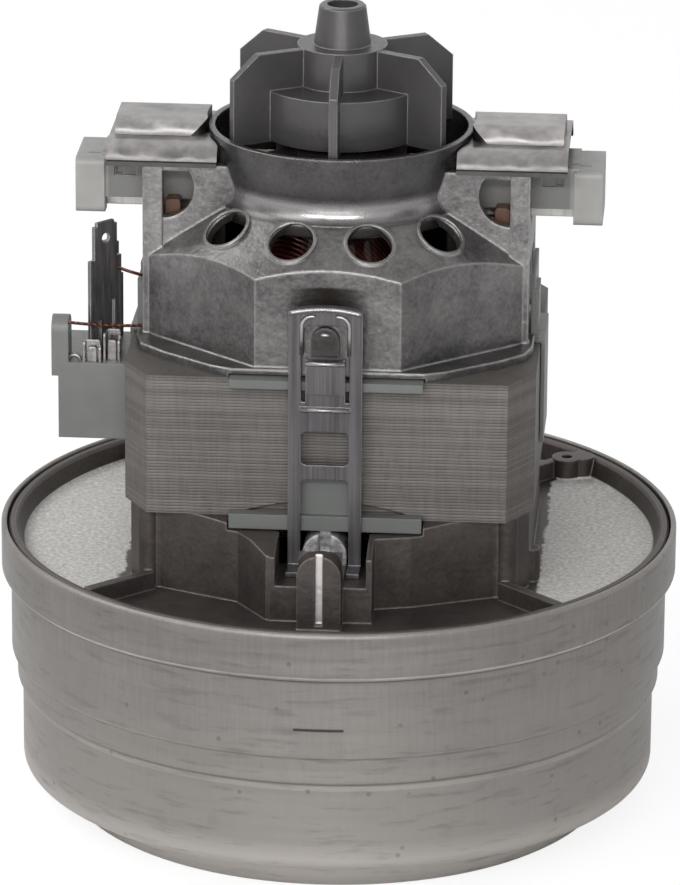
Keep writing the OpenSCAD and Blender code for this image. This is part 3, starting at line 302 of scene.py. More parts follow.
def build_edges() -> Tree:
    """Builds the rounded normal of an edge and a mask of the strip beside it, broken up by noise. The
    finishes paint that strip bright, as wear and as a painted highlight.
    """
    graph, given, result = new_group("edges", {"Radius": 0.5, "Break": 0.5}, ("WearAndHighlight", "Normal"))
    rounded = graph.add("Bevel", samples=4)
    graph.link(graph.product(given.outputs["Radius"], MM), rounded.inputs["Radius"])
    flat = graph.add("NewGeometry")
    turn = graph.add("VectorMath", operation="DOT_PRODUCT")
    graph.link(rounded.outputs[0], turn.inputs[0])
    graph.link(flat.outputs["Normal"], turn.inputs[1])
    noise = graph.noise(given.outputs["Position"], 420.0, 4.0, 0.7)
    strip = graph.ramp(graph.invert(turn.outputs["Value"]), 0.015, 0.16)
    gaps = graph.below(noise, 0.3, 0.62)
    kept = graph.invert(graph.product(given.outputs["Break"], gaps))
    graph.link(graph.product(strip, kept), result.inputs["WearAndHighlight"])
    graph.link(rounded.outputs[0], result.inputs["Normal"])
    return graph.tree


GRAIN = build_grain()
MOTTLE = build_mottle()
STREAKS = build_streaks()
EDGES = build_edges()


class Surface:
    """A material with a Principled shader that reads Object coordinates.

    Args:
        name: The material's name.
        roughness: The shader's roughness where nothing drives it.
        metallic: The shader's metallic share.
    """

    def __init__(self, name: str, roughness: float, metallic: float) -> None:
        self.material = bpy.data.materials.new(name)
        self.material.use_nodes = True
        self.graph = Graph(self.material.node_tree)
        self.shader = self.graph.add("BsdfPrincipled", Roughness=roughness, Metallic=metallic)
        output = self.graph.add("OutputMaterial")
        self.graph.link(self.shader.outputs[0], output.inputs["Surface"])
        self.position = self.graph.add("TexCoord").outputs["Object"]

    def effect(self, tree: Tree, position: Socket | None = None, **values: float) -> Node:
        """Places a shared node group.

        Args:
            tree: The group.
            position: Socket to read the place from, or None for Object coordinates.
            values: The group's number inputs.

        Returns:
            The group node.
        """
        node = self.graph.add("Group", node_tree=tree)
        self.graph.link(position or self.position, node.inputs["Position"])
        for name, value in values.items():
            node.inputs[name].default_value = value
        return node

    def place(self) -> tuple[Socket, Socket, Socket]:
        """Returns X, Y and Z of the Object coordinates, in metres."""
        return self.graph.split(self.position)

    def round_position(self) -> Socket:
        """Returns a position whose Z runs round the motor's axis, X outwards and Y up, in metres."""
        graph = self.graph
        x, y, z = self.place()
        angle = graph.maths("ARCTAN2", y, x)
        radius = graph.maths("SQRT", graph.maths("ADD", graph.product(x, x), graph.product(y, y)))
        joined = graph.add("CombineXYZ")
        graph.link(radius, joined.inputs["X"])
        graph.link(z, joined.inputs["Y"])
        graph.link(graph.product(angle, radius), joined.inputs["Z"])
        return joined.outputs[0]

    def edges(self, radius_mm: float, broken: float = 0.5) -> Socket:
        """Rounds the edges in the shading and returns the mask of the strip beside them, painted bright as
        wear and as a painted highlight.
        """
        node = self.effect(EDGES, Radius=radius_mm, Break=broken)
        self.graph.link(node.outputs["Normal"], self.shader.inputs["Normal"])
        return node.outputs["WearAndHighlight"]

    def paint(self, colour: Socket, roughness: Socket | None = None) -> None:
        """Links the colour, and the roughness where one is given, to the shader."""
        self.graph.link(colour, self.shader.inputs["Base Color"])
        if roughness is not None:
            self.graph.link(roughness, self.shader.inputs["Roughness"])

    def bump(self, height: Socket, depth_mm: float) -> None:
        """Adds a bump of the given depth, on top of one that is there already."""
        node = self.graph.add("Bump", Strength=1.0, Distance=depth_mm * MM)
        self.graph.link(height, node.inputs["Height"])
        normal = self.shader.inputs["Normal"]
        if normal.is_linked:
            self.graph.link(normal.links[0].from_socket, node.inputs["Normal"])
        self.graph.link(node.outputs["Normal"], normal)


class Look:
    """What the recipes of all finishes share."""

    name: str
    roughness: float
    metallic: float

    def shade(self, surface: Surface, graph: Graph) -> None:
        """Fills the graph of the surface."""
        raise NotImplementedError

    def build(self) -> Material:
        """Returns the recipe's material."""
        surface = Surface(self.name, self.roughness, self.metallic)
        self.shade(surface, surface.graph)
        return surface.material


@dataclass(frozen=True)
class CastMetal(Look):
    """Die-cast aluminium with its as-cast skin."""

    name: str
    dark: Colour
    light: Colour
    roughness: float = 0.5
    metallic: float = 0.75
    grain_mm: float = 0.9
    grain_depth_mm: float = 0.05
    edge_mm: float = 0.6
    # The edge strip is painted bright times the light colour: wear, and a painted highlight on convex and
    # concave edges.
    wear_and_highlight: float = 0.7
    bright: float = 2.2
    lump_mm: float = 5.0
    lump_depth_mm: float = 0.06

    def tint(self, surface: Surface, tone: Socket, coat: Coat) -> Coat:
        """Changes the bare metal before stains and the edges' wear and painted highlight come over it.

        Args:
            surface: The surface.
            tone: The uneven tone of the metal.
            coat: The metal's colour and roughness.

        Returns:
            The new colour and roughness.
        """
        return coat

    # Subclasses paint light, highlights and shade here.
    def paint_over(self, surface: Surface, speckle: Socket, coat: Coat) -> Coat:
        """Changes the skin after its edges' wear and painted highlight are laid over it.

        Args:
            surface: The surface.
            speckle: The grain's speckle mask.
            coat: The skin's colour and roughness.

        Returns:
            The new colour and roughness.
        """
        return coat

    def shade(self, surface: Surface, graph: Graph) -> None:
        """Lays stains, worn edges with a painted highlight, lumps and sand grain over the metal's uneven
        tone.
        """
        mottle = surface.effect(MOTTLE, Size=18.0)
        grain = surface.effect(GRAIN, Size=self.grain_mm)
        lumps = surface.effect(MOTTLE, Size=self.lump_mm)
        speckle = grain.outputs["Speckle"]
        tone = graph.blend((mottle.outputs["Cloud"], 0.4), (lumps.outputs["Cloud"], 0.3), (speckle, 0.3))
        rough = graph.maths("ADD", graph.product(tone, 0.16), self.roughness - 0.08)
        colour, rough = self.tint(surface, tone, (graph.mix(tone, self.dark, self.light), rough))
        stained = graph.mix(graph.product(mottle.outputs["Stain"], 0.35), colour, scaled(self.dark, 0.55))
        # Painted highlight and wear along the edges.
        wear_and_highlight = graph.product(surface.edges(self.edge_mm), self.wear_and_highlight)
        skin = graph.mix(wear_and_highlight, stained, scaled(self.light, self.bright))
        surface.paint(*self.paint_over(surface, speckle, (skin, rough)))
        surface.bump(lumps.outputs["Cloud"], self.lump_depth_mm)
        surface.bump(grain.outputs["Height"], self.grain_depth_mm)


@dataclass(frozen=True)
class BracketCasting(CastMetal):
    """The lower bracket: pale floor fields of painted light with a painted shadow edge, a painted highlight
    in each keel's slot and a bright silver boss.
    """

    # Painted light: the pale colour of the floor's lit side fields.
    lit_floor: Colour = srgb(222, 220, 216)
    floor_z: float = 0.0568
    field_x: float = 0.0436
    field_lead: float = 0.0035
    rib_slope: float = 0.98
    ragged_scale: float = 170.0
    ragged_size: float = 0.012
    # Painted highlight along each keel's slot.
    slot_highlight: Colour = srgb(236, 230, 230)
    slot_half: float = 0.0007
    slot_y: tuple[float, float] = (0.0556, 0.0559)
    # Bright silver colours of the boss face.
    boss_dark: Colour = srgb(150, 148, 148)
    boss_light: Colour = srgb(225, 224, 224)
    boss_half: float = 0.0047
    boss_y: tuple[float, float] = (0.0346, 0.0419)
    boss_z: float = 0.0657

    def lit_floor_field(self, surface: Surface) -> Socket:
        """Returns the mask of the floor's two side fields, painted pale as lit floor, with ragged ends that
        are a painted shadow edge.
        """
        graph = surface.graph
        x, y, z = surface.place()
        ragged = graph.noise(surface.position, self.ragged_scale, 4.0, 0.6)
        shift = graph.product(graph.maths("SUBTRACT", ragged, 0.5), self.ragged_size)
        side = graph.absolute(x)
        ahead = graph.maths("SUBTRACT", side, graph.product(graph.absolute(y), self.rib_slope))
        lead = graph.maths("ADD", shift, ahead)
        past_ribs = graph.ramp(lead, self.field_lead, self.field_lead + 0.001)
        reach = graph.maths("ADD", side, graph.product(shift, 0.4))
        past_skirt = graph.ramp(reach, self.field_x, self.field_x + 0.0006)
        on_floor = graph.window(z, self.floor_z - 0.0004, self.floor_z + 0.0004, 0.0002)
        return graph.product(past_ribs, past_skirt, on_floor)

    def paint_over(self, surface: Surface, speckle: Socket, coat: Coat) -> Coat:
        """Paints light on the floor's side fields and a highlight in the keels' slots, and adds the silver
        bosses.
        """
        graph = surface.graph
        skin, rough = coat
        # Painted light on the floor's side fields, whose ragged ends are a painted shadow edge.
        field = self.lit_floor_field(surface)
        skin = graph.mix(field, skin, graph.mix(speckle, scaled(self.lit_floor, 0.6), self.lit_floor))
        rough = graph.maths("ADD", rough, graph.product(field, 0.2))
        metal = graph.maths("SUBTRACT", self.metallic, graph.product(field, self.metallic * 0.6))
        graph.link(metal, surface.shader.inputs["Metallic"])
        x, y, z = surface.place()
        side = graph.absolute(x)
        depth = graph.absolute(y)
        # Painted highlight along each keel's slot.
        slot = graph.product(graph.below(side, self.slot_half, self.slot_half + 0.0001),
                             graph.window(depth, *self.slot_y, 0.0001))
        skin = graph.mix(graph.product(slot, 0.9), skin, self.slot_highlight)
        boss = graph.product(graph.below(side, self.boss_half, self.boss_half + 0.0001),
                             graph.ramp(depth, self.boss_y[0] - 0.0002, self.boss_y[0]),
                             graph.below(depth, self.boss_y[1], self.boss_y[1] + 0.0001),
                             graph.ramp(z, self.boss_z, self.boss_z + 0.0002))
        silver = graph.mix(speckle, self.boss_dark, self.boss_light)
        return graph.mix(graph.product(boss, 0.85), skin, silver), rough


@dataclass(frozen=True)
class ArmCasting(CastMetal):
    """The upper bracket: painted light on its arms and posts, painted shade in its vents and in the recess
    under each strap's head.
    """

    # Painted light: a brighter copy of the casting on the arms, posts and outer shoulder.
    painted_light: float = 1.5
    painted_light_x: tuple[float, float] = (0.02, 0.033)
    painted_light_z: tuple[float, float] = (0.116, 0.124)
    cone_r: float = 0.0275
    cone_z: float = 0.1318
    cone_slope: float = 0.74
    inner_r: float = 0.0365
    # Painted shade in the recess under each strap's head.
    recess: Colour = srgb(40, 36, 36)
    recess_half: float = 0.0029
    recess_y: float = 0.0422

    def tint(self, surface: Surface, tone: Socket, coat: Coat) -> Coat:
        """Paints light on the arms and posts: a brighter copy of the casting than on the skirt."""
        graph = surface.graph
        colour, rough = coat
        x, _, z = surface.place()
        # Painted light on the arms and posts.
        high = graph.product(graph.ramp(graph.absolute(x), *self.painted_light_x), graph.ramp(z, *self.painted_light_z))
        lit_copy = graph.mix(tone, scaled(self.dark, self.painted_light), scaled(self.light, self.painted_light))
        return graph.mix(high, colour, lit_copy), rough

    def paint_over(self, surface: Surface, speckle: Socket, coat: Coat) -> Coat:
        """Paints shade on what lies under the cone's skin, seen through the vents, and in the recess under
        each strap's head.
        """
        graph = surface.graph
        skin, rough = coat
        radius, height, _ = graph.split(surface.round_position())
        # Painted shade under the cone's skin, inside the vents.
        outward = graph.product(graph.maths("SUBTRACT", radius, self.cone_r), self.cone_slope)
        under = graph.maths("SUBTRACT", graph.maths("SUBTRACT", self.cone_z, outward), height)
        vent_shade = graph.product(graph.ramp(under, 0.0009, 0.0014),
                             graph.below(radius, self.inner_r, self.inner_r + 0.001))
        skin = graph.mix(graph.product(vent_shade, 0.93), skin, PAINTED_SHADE)
        rough = graph.maths("ADD", rough, graph.product(vent_shade, 0.25))
        x, y, _ = surface.place()
        # Painted shade in the recess under each strap's head.
        recess = graph.product(graph.below(graph.absolute(x), self.recess_half, self.recess_half + 0.0003),
                               graph.ramp(graph.absolute(y), self.recess_y, self.recess_y + 0.0003))
        return graph.mix(graph.product(recess, 0.75), skin, self.recess), rough


@dataclass(frozen=True)
class BowlCasting(CastMetal):
    """The fan bowl: a painted highlight band round its neck, painted shade below it and inside."""

    bore_r: float = 0.0246
    highlight_low: float = 0.1345
    highlight_high: float = 0.1396

    def tint(self, surface: Surface, tone: Socket, coat: Coat) -> Coat:
        """Paints the highlight band round the neck, and shade below it and inside the bowl."""
        graph = surface.graph
        colour, rough = coat
        _, _, z = surface.place()
        radius, _, _ = graph.split(surface.round_position())
        outer = graph.ramp(radius, self.bore_r, self.bore_r + 0.0003)
        # Painted shade inside the bowl, and a painted contact shadow at the foot of its neck.
        inner_shade = graph.product(graph.invert(outer), graph.below(z, self.highlight_high, self.highlight_high + 0.003))
        foot = graph.below(z, self.highlight_low - 0.0012, self.highlight_low)
        shade_mask = graph.maths("MAXIMUM", graph.product(inner_shade, 0.93), graph.product(foot, 0.75))
        colour = graph.mix(shade_mask, colour, PAINTED_SHADE)
        # Painted highlight: a bright band round the neck.
        highlight_band = graph.product(outer, graph.ramp(z, self.highlight_low, self.highlight_low + 0.0015),
                             graph.below(z, self.highlight_high - 0.002, self.highlight_high))
        colour = graph.mix(graph.product(highlight_band, 0.8), colour, scaled(self.light, 2.6))
        return colour, graph.maths("SUBTRACT", rough, graph.product(highlight_band, 0.04))


@dataclass(frozen=True)
class PressedSheet(Look):
    """Drawn or rolled sheet with faint marks along one direction."""

    name: str
    dark: Colour
    light: Colour
    marks: Axis = Axis.UP
    roughness: float = 0.45
    metallic: float = 0.8
    mark_mm: float = 0.6
    mark_length_mm: float = 40.0
    depth_mm: float = 0.02
    edge_mm: float = 0.4
    wear_and_highlight: float = 0.5
    bright: float = 1.7
    dent_mm: float = 0.0
    dent_depth_mm: float = 0.2
    stained: float = 0.25
    # Painted shade on the lower roll and on faces that don't face upwards.
    underside_shade: float = 0.0
    underside_shade_z: tuple[float, float] = (0.1438, 0.1472)

    def under(self, surface: Surface) -> Socket:
        """Returns the mask of painted shade: the sheet's lower roll and what doesn't face upwards."""
        graph = surface.graph
        _, _, facing = graph.split(graph.add("NewGeometry").outputs["Normal"])
        _, _, z = surface.place()
        return graph.maths("MAXIMUM", graph.below(facing, 0.05, 0.8), graph.below(z, *self.underside_shade_z))

    def shade(self, surface: Surface, graph: Graph) -> None:
        """Lays marks, stains, worn edges with a painted highlight, painted shade underneath and dents over
        each other.
        """
        mottle = surface.effect(MOTTLE, Size=26.0)
        place = surface.round_position() if self.marks is Axis.ROUND else surface.position
        streaks = surface.effect(STREAKS, place, Width=self.mark_mm, Length=self.mark_length_mm)
        fine = surface.effect(GRAIN, Size=0.5)
        tone = graph.blend((mottle.outputs["Cloud"], 0.5), (streaks.outputs["Tone"], 0.5))
        stain = graph.product(mottle.outputs["Stain"], self.stained)
        skin = graph.mix(stain, graph.mix(tone, self.dark, self.light), scaled(self.dark, 0.6))
        # Painted highlight and wear along the edges.
        if self.wear_and_highlight:
            wear_and_highlight = graph.product(surface.edges(self.edge_mm), self.wear_and_highlight)
            skin = graph.mix(wear_and_highlight, skin, scaled(self.light, self.bright))
        # Painted shade on the sheet's underside.
        if self.underside_shade:
            shade = graph.product(self.under(surface), self.underside_shade)
            skin = graph.mix(shade, skin, scaled(self.dark, 0.3))
        rough = graph.maths("ADD", graph.product(streaks.outputs["Tone"], 0.14), self.roughness - 0.07)
        surface.paint(skin, rough)
        if self.dent_mm:
            dents = graph.noise(surface.position, 1.0 / (self.dent_mm * MM), 1.0, 0.4)
            surface.bump(dents, self.dent_depth_mm)
        surface.bump(streaks.outputs["Height"], self.depth_mm)
        surface.bump(fine.outputs["Height"], self.depth_mm * 0.6)


@dataclass(frozen=True)
class DrawnCan(Look):
    """Deep-drawn sheet: satin, with faint drawing rings, small spots and one staking mark, painted light near
    its foot and painted highlights on its lower roll and along its steps.

    Each of the steps is a height and how bright the painted highlight line along it is.
    """

    name: str
    dark: Colour
    light: Colour
    roughness: float = 0.4
    metallic: float = 0.8
    # Painted highlight lines along the steps.
    steps: tuple[tuple[float, float], ...] = ((0.052, 0.6), (0.034, 0.22), (0.0266, 0.1))
    # Painted light: the can is brighter towards its foot.
    lit_foot_z: tuple[float, float] = (0.006, 0.056)
    # Painted highlight on the can's lower roll.
    roll_highlight_z: tuple[float, float] = (0.009, 0.014)
    mark_angle: float = math.radians(-89.1)
    mark_r: float = 0.070
    mark_half: float = 0.005
    mark_z: float = 0.0396
    patch_height: float = 0.0058
    outside_r: float = 0.069
    spot_scale: float = 160.0
    edge_mm: float = 0.9
    broken: float = 0.15
    ring_depth_mm: float = 0.008
    grain_depth_mm: float = 0.01

    def mark(self, graph: Graph, radius: Socket, height: Socket, along: Socket) -> Socket:
        """Returns the mask of the staking slit and of the faint patch below it, on the can's outside."""
        centre = self.mark_angle * self.mark_r
        across = graph.window(along, centre - self.mark_half, centre + self.mark_half, 0.0004)
        slit = graph.window(height, self.mark_z, self.mark_z + 0.0004, 0.0002)
        patch = graph.window(height, self.mark_z - self.patch_height, self.mark_z, 0.0003)
        outside = graph.ramp(radius, self.outside_r, self.outside_r + 0.0005)
        return graph.product(across, graph.blend((slit, 0.9), (patch, 0.07)), outside)

    def dirt(self, surface: Surface, stain: Socket, smudge: Socket) -> Socket:
        """Returns the mask of small spots, stains and smudges."""
        graph = surface.graph
        spots = graph.add("TexVoronoi", Scale=self.spot_scale)
        graph.link(surface.position, spots.inputs["Vector"])
        spot = graph.product(graph.below(spots.outputs["Distance"], 0.05, 0.11), 0.35)
        spotted = graph.maths("MAXIMUM", spot, graph.product(stain, 0.16))
        return graph.maths("MAXIMUM", spotted, graph.product(graph.ramp(smudge, 0.54, 0.76), 0.34))

    def shade(self, surface: Surface, graph: Graph) -> None:
        """Lays rings, painted light near the foot, painted highlights on the roll, the edges and the steps,
        dirt and marks over the sheet's tone.
        """
        mottle = surface.effect(MOTTLE, Size=30.0)
        fine = surface.effect(GRAIN, Size=0.45)
        place = surface.round_position()
        rings = surface.effect(STREAKS, place, Width=2.4, Length=60.0)
        strokes = surface.effect(STREAKS, Width=0.8, Length=10.0)
        smudge = surface.effect(STREAKS, place, Width=1.6, Length=11.0)
        cloud = mottle.outputs["Cloud"]
        tone = graph.blend((cloud, 0.45), (rings.outputs["Tone"], 0.3), (strokes.outputs["Tone"], 0.25))
        radius, height, along = graph.split(place)
        colour = graph.mix(tone, self.dark, self.light)
        # Painted light, brighter towards the bottom of the can.
        foot = graph.product(graph.below(height, *self.lit_foot_z), 0.8)
        colour = graph.mix(foot, colour, scaled(self.light, 1.35))
        # Painted highlight on the can's lower roll.
        roll = graph.product(graph.below(height, *self.roll_highlight_z), 0.7)
        colour = graph.mix(roll, colour, scaled(self.light, 2.0))
        # Painted highlight and wear along the edges.
        wear_and_highlight = graph.product(surface.edges(self.edge_mm, self.broken), 0.3)
        colour = graph.mix(wear_and_highlight, colour, scaled(self.light, 2.1))
        # Painted highlight lines along the steps.
        for level, share in self.steps:
            line = graph.window(height, level - 0.001, level - 0.0002, 0.0002)
            uneven = graph.product(graph.maths("ADD", cloud, 0.6), share)
            step_highlight = graph.maths("MULTIPLY", line, uneven, clamp=True)
            colour = graph.mix(step_highlight, colour, scaled(self.light, 3.0))
        dirt = self.dirt(surface, mottle.outputs["Stain"], smudge.outputs["Height"])
        dirt = graph.maths("MAXIMUM", dirt, self.mark(graph, radius, height, along), clamp=True)
        rough = graph.maths("ADD", graph.product(rings.outputs["Tone"], 0.1), self.roughness - 0.05)
        surface.paint(graph.mix(dirt, colour, scaled(self.dark, 0.22)), rough)
        surface.bump(rings.outputs["Height"], self.ring_depth_mm)
        surface.bump(fine.outputs["Height"], self.grain_depth_mm)


@dataclass(frozen=True)
class Laminations(Look):
    """A stack of punched sheets seen on its edges."""

    name: str
    dark: Colour
    light: Colour
    roughness: float = 0.55
    metallic: float = 0.55
    sheet_mm: float = 0.65
    groove_depth_mm: float = 0.06
    streak_depth_mm: float = 0.04

    def shade(self, surface: Surface, graph: Graph) -> None:
        """Draws the sheets' edges with the seams between them and some dirt."""
        _, _, z = surface.place()
        count = graph.maths("DIVIDE", z, self.sheet_mm * MM)
        seam = graph.absolute(graph.maths("SUBTRACT", graph.maths("FRACT", count), 0.5))
        groove = graph.ramp(seam, 0.3, 0.5)
        sheet = graph.add("TexWhiteNoise", noise_dimensions="1D")
        graph.link(graph.maths("FLOOR", count), sheet.inputs["W"])
        mottle = surface.effect(MOTTLE, Size=14.0)
        streaks = surface.effect(STREAKS, Width=0.9, Length=9.0)
        tone = graph.blend((sheet.outputs["Value"], 0.45), (mottle.outputs["Cloud"], 0.35),
                           (streaks.outputs["Tone"], 0.2))
        dirt = graph.maths("MAXIMUM", graph.product(groove, 0.45),
                           graph.product(mottle.outputs["Stain"], 0.4))
        surface.paint(graph.mix(dirt, graph.mix(tone, self.dark, self.light), scaled(self.dark, 0.5)))
        surface.bump(graph.invert(groove), self.groove_depth_mm)
        surface.bump(streaks.outputs["Height"], self.streak_depth_mm)


@dataclass(frozen=True)
class Moulding(Look):
    """Moulded plastic, slightly translucent where it is pale, and darker on its inner side as painted shade
    where a width for it is given.
    """

    name: str
    colour: Colour
    roughness: float = 0.45
    depth_mm: float = 0.015
    grain_mm: float = 1.2
    glow: float = 0.0
    wear_and_highlight: float = 0.25
    bright: float = 1.3
    metallic: float = 0.0
    # Painted shade on the inner side, within this distance of the middle.
    shade_x: float = 0.0
    edge_mm: float = 0.4
    glow_radius: tuple[float, float, float] = (0.004, 0.004, 0.003)

    def shade(self, surface: Surface, graph: Graph) -> None:
        """Lays painted shade, stains and worn edges with a painted highlight over the plastic's uneven tone.
        """
        mottle = surface.effect(MOTTLE, Size=16.0)
        grain = surface.effect(GRAIN, Size=self.grain_mm)
        low = scaled(self.colour, 0.86)
        colour = graph.mix(mottle.outputs["Cloud"], low, scaled(self.colour, 1.1))
        # Painted shade on the inner side.
        if self.shade_x:
            x, _, _ = surface.place()
            shaded_side = graph.below(graph.absolute(x), self.shade_x - 0.0008, self.shade_x)
            colour = graph.mix(graph.product(shaded_side, 0.6), colour, scaled(low, 0.2))
        stain = graph.product(mottle.outputs["Stain"], 0.18)
        body = graph.mix(stain, colour, scaled(self.colour, 0.5))
        # Painted highlight and wear along the edges.
        wear_and_highlight = graph.product(surface.edges(self.edge_mm), self.wear_and_highlight)
        rough = graph.maths("ADD", graph.product(grain.outputs["Speckle"], 0.12), self.roughness - 0.06)
        surface.paint(graph.mix(wear_and_highlight, body, scaled(self.colour, self.bright)), rough)
        surface.bump(grain.outputs["Height"], self.depth_mm)
        if self.glow:
            surface.shader.inputs["Subsurface Weight"].default_value = self.glow
            surface.shader.inputs["Subsurface Radius"].default_value = self.glow_radius


@dataclass(frozen=True)
class WoundWire(Look):
    """Enamelled copper wire laid side by side and varnished."""

    name: str
    dark: Colour
    light: Colour
    roughness: float = 0.3
    metallic: float = 0.55
    wire_mm: float = 0.7
    bands_per_wire: float = 0.31
    depth_mm: float = 0.2
    varnish: float = 0.4

    def shade(self, surface: Surface, graph: Graph) -> None:
        """Draws the wires under their uneven varnish."""
        wires = graph.add("TexWave", wave_type="BANDS", bands_direction="DIAGONAL", Distortion=1.2,
                          Detail=1.0, Detail_Scale=0.6, Scale=self.bands_per_wire / (self.wire_mm * MM))
        graph.link(surface.position, wires.inputs["Vector"])
        mottle = surface.effect(MOTTLE, Size=6.0)
        uneven = graph.maths("ADD", graph.product(mottle.outputs["Cloud"], 0.6), 0.4)
        surface.paint(graph.mix(graph.product(wires.outputs["Fac"], uneven), self.dark, self.light))
        surface.bump(wires.outputs["Fac"], self.depth_mm)
        surface.shader.inputs["Coat Weight"].default_value = self.varnish


@dataclass(frozen=True)
class TurnedMetal(Look):
    """Ground or turned metal with marks round its axis."""

    name: str
    dark: Colour
    light: Colour
    roughness: float = 0.3
    metallic: float = 0.95
    depth_mm: float = 0.02

    def shade(self, surface: Surface, graph: Graph) -> None:
        """Draws the turning marks."""
        streaks = surface.effect(STREAKS, surface.round_position(), Width=0.35, Length=25.0)
        mottle = surface.effect(MOTTLE, Size=9.0)
        tone = graph.blend((streaks.outputs["Tone"], 0.6), (mottle.outputs["Cloud"], 0.4))
        rough = graph.maths("ADD", graph.product(tone, 0.15), self.roughness - 0.05)
        surface.paint(graph.mix(tone, self.dark, self.light), rough)
        surface.bump(streaks.outputs["Height"], self.depth_mm)


class Finish(Enum):
    """Every finish on the motor."""

    SHELL = DrawnCan("shell_sheet", srgb(113, 109, 106), srgb(138, 134, 130))
    LOWER_CASTING = BracketCasting("dark_casting", srgb(58, 53, 51), srgb(92, 86, 83), 0.48, 0.7, bright=3.0)
    UPPER_CASTING = ArmCasting("bright_casting", srgb(62, 61, 61), srgb(128, 126, 125), 0.36, 0.82,
                               edge_mm=0.8, wear_and_highlight=0.9, bright=2.6, lump_mm=3.5, lump_depth_mm=0.1)
    # Painted shade: the bearing spider is coloured near black because it lies in shade inside the bracket.
    SPIDER = CastMetal("shaded_inner_casting", srgb(34, 30, 28), srgb(54, 49, 46), 0.55, 0.6, bright=2.0)
    BOWL = BowlCasting("smooth_casting", srgb(58, 56, 56), srgb(98, 96, 96), 0.3, 0.8,
                       grain_depth_mm=0.015, bright=3.0, lump_depth_mm=0.03)
    WHEEL = PressedSheet("wheel_sheet", srgb(165, 165, 165), srgb(200, 200, 200), Axis.ROUND, 0.35, 0.9)
    BEARING = TurnedMetal("bearing_steel", srgb(150, 150, 152), srgb(205, 205, 208), 0.22)
    TURNED = TurnedMetal("turned_steel", srgb(130, 130, 130), srgb(185, 185, 186), 0.32)
    LAMINATION = Laminations("lamination_edges", srgb(82, 78, 75), srgb(118, 113, 109))
    WINDING = WoundWire("enamelled_wire", srgb(52, 20, 14), srgb(124, 60, 40))
    COMMUTATOR = TurnedMetal("commutator_bars", srgb(120, 70, 48), srgb(190, 122, 90), 0.35)
    SLEEVE = Moulding("fibre_sleeve", srgb(120, 96, 66), 0.6)
    BOBBIN = Moulding("grey_green_moulding", srgb(94, 96, 94), 0.5, bright=1.6)
    # Painted shade: the white plastic is coloured mid grey for the shade it lies in.
    WHITE = Moulding("white_moulding_in_shade", srgb(106, 107, 104), 0.42, glow=0.1, wear_and_highlight=0.6, bright=1.6)
    # Painted shade on the holders' inner part, under the clamps.
    HOLDER = Moulding("holder_moulding", srgb(146, 145, 142), 0.42, glow=0.1, wear_and_highlight=0.6, bright=1.6,
                      shade_x=0.0488)
    TUBE = PressedSheet("drawn_tube", srgb(150, 148, 145), srgb(196, 194, 190), Axis.NONE, 0.35, 0.9)
    BROWN = Moulding("brown_moulding", srgb(86, 56, 40), 0.45)
    CARBON = Moulding("pressed_carbon", srgb(38, 38, 40), 0.55, 0.03, 0.4)
    CLAMP = PressedSheet("clamp_sheet", srgb(116, 114, 113), srgb(176, 173, 171), Axis.NONE, 0.37, 1.0,
                         mark_mm=4.0, mark_length_mm=4.0, depth_mm=0.004, wear_and_highlight=0.0, dent_mm=7.0,
                         dent_depth_mm=0.8, stained=0.0, underside_shade=0.88)
    STRAP = PressedSheet("strap_sheet", srgb(66, 64, 66), srgb(104, 102, 103), Axis.UP, 0.34, 0.8,
                         depth_mm=0.01, wear_and_highlight=0.9, bright=2.6)
    ROLL = PressedSheet("strap_rolls", srgb(120, 117, 117), srgb(172, 169, 168), Axis.NONE, 0.3, 0.9,
                        mark_mm=2.0, mark_length_mm=2.0, depth_mm=0.01, wear_and_highlight=0.0)
    TAB = PressedSheet("tab_sheet", srgb(84, 82, 84), srgb(146, 144, 146), Axis.UP, 0.35, 0.8,
                       mark_length_mm=8.0, wear_and_highlight=0.8)
    CLIP = PressedSheet("clip_sheet", srgb(96, 94, 94), srgb(168, 165, 163), Axis.NONE, 0.3, 0.9,
                        mark_mm=2.0, mark_length_mm=2.0, wear_and_highlight=0.8)
    # Painted highlight: the fan's edge strip is painted 4.5 times its colour, for the light on the blades'
    # edges.
    FAN = Moulding("fan_moulding", srgb(80, 78, 79), 0.34, 0.03, 0.8, wear_and_highlight=0.9, bright=4.5, metallic=0.4)

    @property
    def material(self) -> Material:
        """The finish's material, built when it is first asked for."""
        return bpy.data.materials.get(self.value.name) or self.value.build()


def new_object(name: str, shape: Shape, material: Material) -> bpy.types.Object:
    """Turns a shape into an object at the origin, and frees the shape.

    Args:
        name: The object's name.
        shape: Its shape.
        material: Its material.

    Returns:
        The object.
    """
    mesh = bpy.data.meshes.new(name)
    shape.to_mesh(mesh)
    shape.free()
    mesh.materials.append(material)
    made = bpy.data.objects.new(name, mesh)
    bpy.context.scene.collection.objects.link(made)
    return made


def add_piece(name: str, shape: Shape, finish: Finish) -> bpy.types.Object:
    """Makes a shape a piece that rides on the motor's frame.

    Args:
        name: The piece's name.
        shape: Its shape.
        finish: Its finish.

    Returns:
        The piece.
    """
    bmesh.ops.recalc_face_normals(shape, faces=shape.faces)
    piece = new_object(name, shape, finish.material)
    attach(piece, "motor_frame")
    LOG.info("%s: %s", name, finish.name.lower())
    return piece


